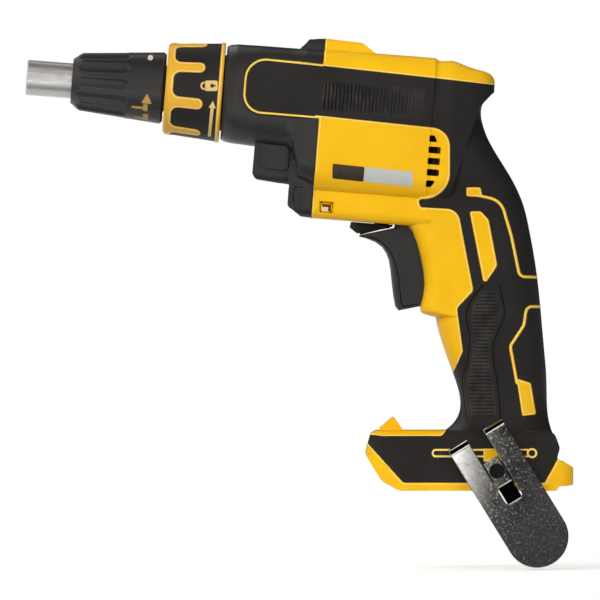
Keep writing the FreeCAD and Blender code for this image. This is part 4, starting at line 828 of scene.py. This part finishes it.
# %% A merged copy of the clutch spring
shape = bmesh.new()
shape.from_mesh(nodes["clutch_spring"].data)
bmesh.ops.remove_doubles(shape, verts=shape.verts, dist=MERGE)
mesh = plain_mesh("clutch_coil", shape, "bearing_steel")
coil = add_piece("clutch_coil", mesh, "spindle_body")
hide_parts("clutch_spring")
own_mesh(coil)

# %% [markdown]
# Prints and labels are thin skins. A flat outline is filled with triangles, each point is
# dropped on the CAD surface by a ray, and the sheet is thickened by a few hundredths of a
# millimetre, so that it bends with the surface beneath and casts a hair of an edge.

# %% Thin sheets dropped on a surface
INWARD = Vector((0, 1, 0))
DROP_START = 0.15
SHEET_SINK = 0.05
CREASE_ANGLE = math.radians(50)


def dense(outline, step):
    """An outline with points no further apart than step."""
    line = []
    for (a, b), (c, d) in zip(outline, outline[1:] + outline[:1]):
        parts = max(1, math.ceil(math.hypot(c - a, d - b) / step))
        line += [(a + (c - a) * i / parts, b + (d - b) * i / parts) for i in range(parts)]
    return line


def within(outline, a, b):
    """Whether a point lies inside an outline."""
    inside = False
    for (x0, y0), (x1, y1) in zip(outline, outline[1:] + outline[:1]):
        if (y0 > b) != (y1 > b) and a < x0 + (x1 - x0) * (b - y0) / (y1 - y0):
            inside = not inside
    return inside


def filled(outline, step):
    """The points and triangles that fill an outline, about a step apart."""
    border = dense(outline, step)
    rim = [Vector(point) for point in border]
    flat = list(rim)
    ranges = []
    for values in zip(*border):
        low, high = min(values), max(values)
        ranges.append([low + i * step for i in range(1, int((high - low) / step) + 1)])
    for spot in ((a, b) for a in ranges[0] for b in ranges[1]):
        clear = min((Vector(spot) - point).length for point in rim) > step * 0.4
        if clear and within(outline, *spot):
            flat.append(Vector(spot))
    spots, _, cells, *_ = delaunay_2d_cdt(flat, [], [list(range(len(rim)))], 1, 1e-5)
    return spots, cells


def skin_of(surfaces):
    """The skins of some CAD pieces as one target for rays."""
    points, triangles = [], []
    for name in surfaces:
        mesh = nodes[name].data
        first = len(points)
        points += [vertex.co.copy() for vertex in mesh.vertices]
        triangles += [[first + i for i in face.vertices] for face in mesh.polygons]
    return BVHTree.FromPolygons(points, triangles)


def sheet(name, outlines, surfaces, body, slot, finish, lift_mm, step=0.5):
    """Thin shapes on the left of a surface, from outlines of (x, z) in mm."""
    target = skin_of(surfaces)
    shape = bmesh.new()
    for outline in outlines:
        spots, cells = filled(outline, step)
        tops, bottoms = [], []
        for spot in spots:
            start = Vector((spot.x * MM, 0, spot.y * MM)) - INWARD * DROP_START
            hit, normal, _, _ = target.ray_cast(start, INWARD)
            normal = normal if normal.dot(INWARD) < 0 else -normal
            tops.append(shape.verts.new(hit + normal * (lift_mm * MM)))
            bottoms.append(shape.verts.new(hit - normal * (SHEET_SINK * MM)))
        uses = {}
        for cell in cells:
            shape.faces.new([tops[i] for i in cell])
            shape.faces.new([bottoms[i] for i in reversed(cell)])
            for i, j in zip(cell, cell[1:] + cell[:1]):
                uses.setdefault(frozenset((i, j)), []).append((i, j))
        for i, j in (pairs[0] for pairs in uses.values() if len(pairs) == 1):
            shape.faces.new([tops[j], tops[i], bottoms[i], bottoms[j]])
    bmesh.ops.recalc_face_normals(shape, faces=shape.faces)
    mesh = plain_mesh(name, shape, finish)
    mesh.shade_smooth()
    mesh.set_sharp_from_angle(angle=CREASE_ANGLE)
    return add_piece(name, mesh, body, False)


print("sheet maker ready")

# %% [markdown]
# The signs are generic ones: a padlock and an arrow on the lock collar, and an arrow with two
# screw heads, one proud and one sunk, on the depth sleeve, with a pale dot to set it by. They
# are printed on the real tool, so each is a sheet of ink a few hundredths thick.

# %% Signs on collar and sleeve
INK = {"lift_mm": 0.06, "step": 0.7}
LOCK, HOOP_OFF = seen(211.8, 86.4), -3.3
ARROW_LOW, ARROW_HIGH = Vector(seen(209.4, 136.6)), Vector(seen(213.2, 101.4))
SHAFT_HALF, HEAD_HALF, HEAD_LENGTH = 0.75, 1.7, 3.4
PROUD_SCREW = (
    (132, 106), (143.5, 107), (143.5, 104.5), (148, 105),
    (147.5, 111.5), (143, 111), (143.2, 109.4), (132, 108.2),
)
SUNK_SCREW = (
    (134.5, 116.4), (143, 117.4), (143.2, 114), (148.6, 114.6),
    (148, 120), (142.7, 119.4), (142.9, 118.9), (134.4, 117.8),
)
DEPTH_ARROW = ((141.6, 103.2), (147.4, 93.9), (151.9, 103.9), (147.6, 104.4))


def arc(centre, radius, start, end, count=12):
    """Points round part of a circle, angles in degrees."""
    turns = [math.radians(start + (end - start) * i / count) for i in range(count + 1)]
    return [(centre[0] + radius * math.cos(t), centre[1] + radius * math.sin(t)) for t in turns]


def rounded_box(corners, radius, steps=5):
    """A four-cornered outline with its corners rounded, in mm."""
    line = []
    befores, afters = corners[-1:] + corners[:-1], corners[1:] + corners[:1]
    for before, corner, after in zip(befores, map(Vector, corners), afters):
        start = corner + (Vector(before) - corner).normalized() * radius
        end = corner + (Vector(after) - corner).normalized() * radius
        for i in range(steps + 1):
            t = i / steps
            line.append(tuple(start * (1 - t) ** 2 + corner * 2 * t * (1 - t) + end * t * t))
    return line


x, z = LOCK
lock_body = rounded_box(
    [(x - 3.1, z + 2.5), (x + 2.9, z + 2.5), (x + 2.9, z - 2.5), (x - 3.1, z - 2.5)], 1.0
)
key_slot = arc((x + 0.3, z), 0.95, 20, 340) + [(x + 2.1, z - 0.3), (x + 2.1, z + 0.3)]
hoop = (x + HOOP_OFF, z)
shackle = arc(hoop, 2.0, 90, 270) + arc(hoop, 1.15, 270, 90)
lead = (ARROW_HIGH - ARROW_LOW).normalized()
across = Vector((lead.y, -lead.x))
neck = ARROW_HIGH - lead * HEAD_LENGTH
turn_arrow = [tuple(point) for point in (
    ARROW_LOW - across * SHAFT_HALF, neck - across * SHAFT_HALF, neck - across * HEAD_HALF,
    ARROW_HIGH, neck + across * HEAD_HALF, neck + across * SHAFT_HALF,
    ARROW_LOW + across * SHAFT_HALF,
)]
collar = ["collar_grip", "lock_collar"]
sheet(
    "collar_sign", [lock_body, shackle, turn_arrow], collar, "collar_body", "collar_yellow",
    "ink_cream", **INK,
)
sheet(
    "collar_sign_key", [key_slot], collar, "collar_body", "grip_black", "grip_black",
    lift_mm=0.1, step=0.4,
)
sleeve_signs = [[seen(*pixel) for pixel in row] for row in (DEPTH_ARROW, PROUD_SCREW, SUNK_SCREW)]
sheet(
    "sleeve_sign", sleeve_signs, ["depth_sleeve"], "sleeve_body", "collar_yellow", "ink_amber",
    **INK,
)
dot = arc(seen(150.6, 58.0), 1.3, 0, 350, count=18)
sheet(
    "sleeve_dot", [dot], ["depth_sleeve"], "sleeve_body", "collar_yellow", "pale_ink_and_painted_light",
    lift_mm=0.08,
)
print("signs laid on collar and sleeve")

# %% [markdown]
# The direction lever lies just above the trigger, with a narrow slit of daylight between them.
# A thin rib along the lever's lower edge closes the slit to its real width. It is a flat plate
# on the middle plane, drawn from the side, so a plain extrusion will do.

# %% The rib under the direction lever
LEVER_RIB = (
    (359.2, 235.0), (390.6, 227.1), (392.6, 226.9), (392.6, 224.7),
    (389.0, 224.7), (389.0, 226.0), (360.5, 231.6),
)
LEVER_HALF = 1.0
shape = bmesh.new()
near, far = [
    [shape.verts.new((x * MM, y * MM, z * MM)) for x, z in (seen(*pixel) for pixel in LEVER_RIB)]
    for y in (-LEVER_HALF, LEVER_HALF)
]
shape.faces.new(near)
shape.faces.new(far[::-1])
for i in range(len(near)):
    shape.faces.new([near[i - 1], near[i], far[i], far[i - 1]])
bmesh.ops.recalc_face_normals(shape, faces=shape.faces)
mesh = plain_mesh("lever_rib", shape, "trigger_black")
add_piece("lever_rib", mesh, "lever_body", False)
print("lever rib made of", len(mesh.polygons), "faces")

# %% [markdown]
# The lock button sits deep in a small square well, so its face is lit unevenly. The shadow
# that falls from the well's upper and rear walls is painted on it as a brown sheet, and its lit
# rest is painted as a pale sheet. The label under the bare panel is a two-tone foil with nothing
# on it. All four are sheets again.

# %% Painted shadow and light on the lock button, and the label foil
BUTTON_SHADE = (
    (50.6, -48.9), (54.9, -48.9), (54.9, -52.3), (53.6, -52.3), (53.6, -50.3), (50.6, -50.3),
)
BUTTON_PAINTED_LIGHT = ((50.6, -50.4), (53.5, -50.4), (53.5, -52.3), (50.6, -52.3))
FOIL_DARK = ((54.0, -29.6), (69.2, -30.0), (69.2, -37.0), (54.4, -36.6))
FOIL_PALE = ((69.3, -30.0), (92.3, -30.6), (92.6, -37.6), (69.3, -37.0))
# a painted shadow and a painted lit patch on the lock button's face
for name, outline, finish in (
    ("button_shade", BUTTON_SHADE, "painted_well_shade"), ("button_face", BUTTON_PAINTED_LIGHT, "pale_ink_and_painted_light"),
):
    sheet(
        name, [on_barrel(outline)], ["lock_button"], "button_body", "housing_yellow", finish,
        lift_mm=0.05,
    )
for name, outline, radius, slot, finish in (
    ("label_dark", FOIL_DARK, 0.9, "grip_black", "foil_dark"),
    ("label_pale", FOIL_PALE, 0.4, "plate_alloy", "foil_pale"),
):
    rounded = rounded_box(on_barrel(outline), radius)
    sheet(
        name, [rounded], ["left_housing"], "tool_body", slot, finish, lift_mm=0.08, step=1.5
    )
print("button face and label laid")

# %% [markdown]
# The stage begins with a pale floor. Near the tool it is a real surface that keeps the tool's
# shadow, lifted a little for the camera; further out it fades into plain white, so no horizon
# shows. A Light Path node tells the rays that show a background from those that light the tool.

# %% Floor
MIDDLE = Vector((-0.08, 0, 0.1))
FLOOR_Z = cad_box[0][2] - 0.001
FLOOR_SIZE = 12.0
FADE_START, FADE_END = 0.16, 0.42
FLOOR_LIFT, FLOOR_GLOW, SKY_GLOW = 0.42, 0.25, 0.32


def background_strength(tree, hidden):
    """1 for straight, mirrored and see-through rays, and a lower strength for the others."""
    path = tree.nodes.new("ShaderNodeLightPath").outputs
    shown = combine(tree, "MAXIMUM", path["Is Camera Ray"], path["Is Glossy Ray"])
    shown = combine(tree, "MAXIMUM", shown, path["Is Transmission Ray"])
    return spread(tree, shown, hidden, 1.0, 0.0, 1.0)


def white_glow(tree, strength):
    """A white emission."""
    glow = add_node(tree, "ShaderNodeEmission", Color=(1, 1, 1, 1), Strength=strength)
    return glow.outputs[0]


bpy.ops.mesh.primitive_plane_add(size=FLOOR_SIZE, location=(MIDDLE.x, 0, FLOOR_Z))
floor = bpy.context.object
floor.name = "studio_floor"
material, tree, shader, place = new_finish("studio_floor")
set_inputs(tree, shader, Base_Color=(0.86, 0.86, 0.855, 1), Roughness=0.7)
camera_ray = tree.nodes.new("ShaderNodeLightPath").outputs["Is Camera Ray"]
lifted = tree.nodes.new("ShaderNodeAddShader")
feed(tree, lifted.inputs[0], shader.outputs[0])
feed(tree, lifted.inputs[1], white_glow(tree, combine(tree, "MULTIPLY", camera_ray, FLOOR_LIFT)))
reach = add_node(tree, "ShaderNodeVectorMath", operation="LENGTH")
feed(tree, reach.inputs[0], place)
fade = spread(tree, reach.outputs["Value"], 0.0, 1.0, FADE_START, FADE_END)
blend = add_node(tree, "ShaderNodeMixShader", Fac=fade)
feed(tree, blend.inputs[1], lifted.outputs[0])
feed(tree, blend.inputs[2], white_glow(tree, background_strength(tree, FLOOR_GLOW)))
set_inputs(tree, tree.nodes["Material Output"], Surface=blend.outputs[0])
floor.data.materials.append(material)
print("floor laid at", round(FLOOR_Z, 4), "m")

# %% [markdown]
# Dark cards stand in front, overhead, beside, behind and on the floor, for reflections alone, as
# they would in a studio: without them every black surface would mirror a white room and look
# grey. Bare metal needs something bright to mirror, so pale hangings glow on three of them: two
# for the belt clip on the front card, and one on each of the three for the nose tube. The nose's
# hanging on the front card leans with the barrel, because a leaning tube mirrors it leaning.

# %% Cards for the reflections
CARD_SIZE = 4.8
FELT_MM = 60.0
SOFT_TOP = 0.15
NOSE_DROP = 0.8
LEAN = math.tan(TILT)
WARM, COOL = (1, 0.96, 0.9, 1), (0.93, 0.97, 1, 1)
APRON_GLOW = 0.085

# where it starts, is full, fades and is gone across the card, its top, strength and lean
FRONT_DRAPES = (
    (0.040, 0.069, 0.092, 0.108, 0.0, 2.6, 0.0),
    (0.125, 0.150, 0.27, 0.33, 0.0, 0.14, 0.0),
    (-0.42, -0.36, -0.175, -0.135, 1.2, 2.6, LEAN),
)
CEILING_DRAPES = ((-0.42, -0.36, 0.03, 0.07, 0.5, 1.0, 0.0),)
APRON_DRAPES = ((-0.42, -0.36, -0.16, -0.12, 2.15, 2.4, 0.0),)


def dark_felt(name):
    """Black felt, which returns hardly any light."""
    material, tree, shader, place = new_finish(name)
    felt = spread(tree, grain(tree, place, FELT_MM, 3.0), 0.0, 1.0)
    tone = mix_colour(tree, felt, (0.006, 0.006, 0.006), (0.012, 0.012, 0.012))
    set_inputs(tree, shader, Base_Color=tone, Roughness=0.95, Specular_IOR_Level=0.0)
    return material, tree, shader, place


def draped_felt(name, colour, glow, drapes):
    """A card's felt with pale hangings that the bare metal mirrors."""
    material, tree, shader, place = dark_felt(name)
    card_x, card_y = part_of(tree, place, "X"), part_of(tree, place, "Y")
    total = glow
    for start, full, fading, gone, top, strength, lean in drapes:
        slant = combine(tree, "MULTIPLY", combine(tree, "ADD", card_y, NOSE_DROP), lean)
        across = combine(tree, "SUBTRACT", card_x, slant)
        rise = spread(tree, across, 0.0, strength, start, full)
        fall = spread(tree, across, 1.0, 0.0, fading, gone)
        below = spread(tree, card_y, 1.0, 0.0, top - SOFT_TOP, top + SOFT_TOP)
        hanging = combine(tree, "MULTIPLY", combine(tree, "MULTIPLY", rise, fall), below)
        total = combine(tree, "ADD", total, hanging)
    set_inputs(tree, shader, Emission_Color=colour, Emission_Strength=total)
    return material


plain_felt = dark_felt("dark_felt")[0]
front_felt = draped_felt("draped_felt", WARM, 0.0, FRONT_DRAPES)
ceiling_felt = draped_felt("ceiling_felt", WARM, 0.0, CEILING_DRAPES)
apron_felt = draped_felt("grey_felt", COOL, APRON_GLOW, APRON_DRAPES)
UPRIGHT = math.pi / 2
cards = (
    ("front_card", (MIDDLE.x, -2.2, 1.0), (UPRIGHT, 0, 0), front_felt),
    ("ceiling_card", (MIDDLE.x, -1.3, 2.4), (0, 0, 0), ceiling_felt),
    ("apron_card", (MIDDLE.x, -2.46, FLOOR_Z + 0.0005), (0, 0, 0), apron_felt),
    ("side_card", (2.3, 0.2, 1.0), (0, -UPRIGHT, 0), plain_felt),
    ("rear_card", (MIDDLE.x, 2.4, 1.2), (-UPRIGHT, 0, 0), plain_felt),
)
for name, place, turn, felt in cards:
    bpy.ops.mesh.primitive_plane_add(size=CARD_SIZE, location=place, rotation=turn)
    card = bpy.context.object
    card.name = name
    card.data.materials.append(felt)
    card.visible_camera = False
    card.visible_diffuse = False
    card.visible_shadow = False
    card.visible_transmission = False
print(len(cards), "cards stand round the tool")

# %% [markdown]
# Light and camera. Soft area lights stand where a photographer would put them: a key from the
# front left, a weaker fill from the front right, two small ones above that draw the upper edges
# and a large one behind for the far side. Only the edge light shows in reflections. The camera
# has a very long lens and looks straight at the tool's left side, as the photograph does.

# %% World, lights and camera
SENSOR, VIEW_DISTANCE, CLIP_END = 36, 8.0, 50
world = bpy.data.worlds.new("studio")
bpy.context.scene.world = world
world.use_nodes = True
tree = world.node_tree
strength = background_strength(tree, SKY_GLOW)
set_inputs(tree, tree.nodes["Background"], Color=(1, 1, 1, 1), Strength=strength)

# place, size, watts, whether reflections show it
LIGHTS = {
    "key_light": ((-0.9, -1.6, 1.1), 1.0, 27, False),
    "fill_light": ((1.0, -1.7, 0.6), 1.0, 10, False),
    "edge_light": ((-0.5, 0.9, 1.0), 0.5, 1.5, True),
    "top_light": ((-0.1, 0.45, 1.4), 0.6, 0.5, False),
    "back_light": ((0.3, 1.8, 0.5), 1.2, 12, False),
}
for name, (place, size, power, mirrored) in LIGHTS.items():
    data = bpy.data.lights.new(name, "AREA")
    data.size = size
    data.energy = power
    lamp = bpy.data.objects.new(name, data)
    lamp.location = place
    lamp.visible_glossy = mirrored
    lamp.rotation_euler = (MIDDLE - Vector(place)).to_track_quat("-Z", "Y").to_euler()
    bpy.context.scene.collection.objects.link(lamp)

middle_x, middle_z = seen(PICTURE / 2, PICTURE / 2)
lens = bpy.data.cameras.new("photo_camera")
lens.sensor_width = SENSOR
lens.lens = SENSOR * VIEW_DISTANCE / (PICTURE * PIXEL * MM)
lens.clip_end = CLIP_END
camera = bpy.data.objects.new("photo_camera", lens)
camera.location = (middle_x * MM, -VIEW_DISTANCE, middle_z * MM)
camera.rotation_euler = (UPRIGHT, 0, 0)
bpy.context.scene.collection.objects.link(camera)
bpy.context.scene.camera = camera
bpy.context.scene.view_settings.view_transform = "Standard"
print(len(LIGHTS), "lights, and a camera", VIEW_DISTANCE, "m away")
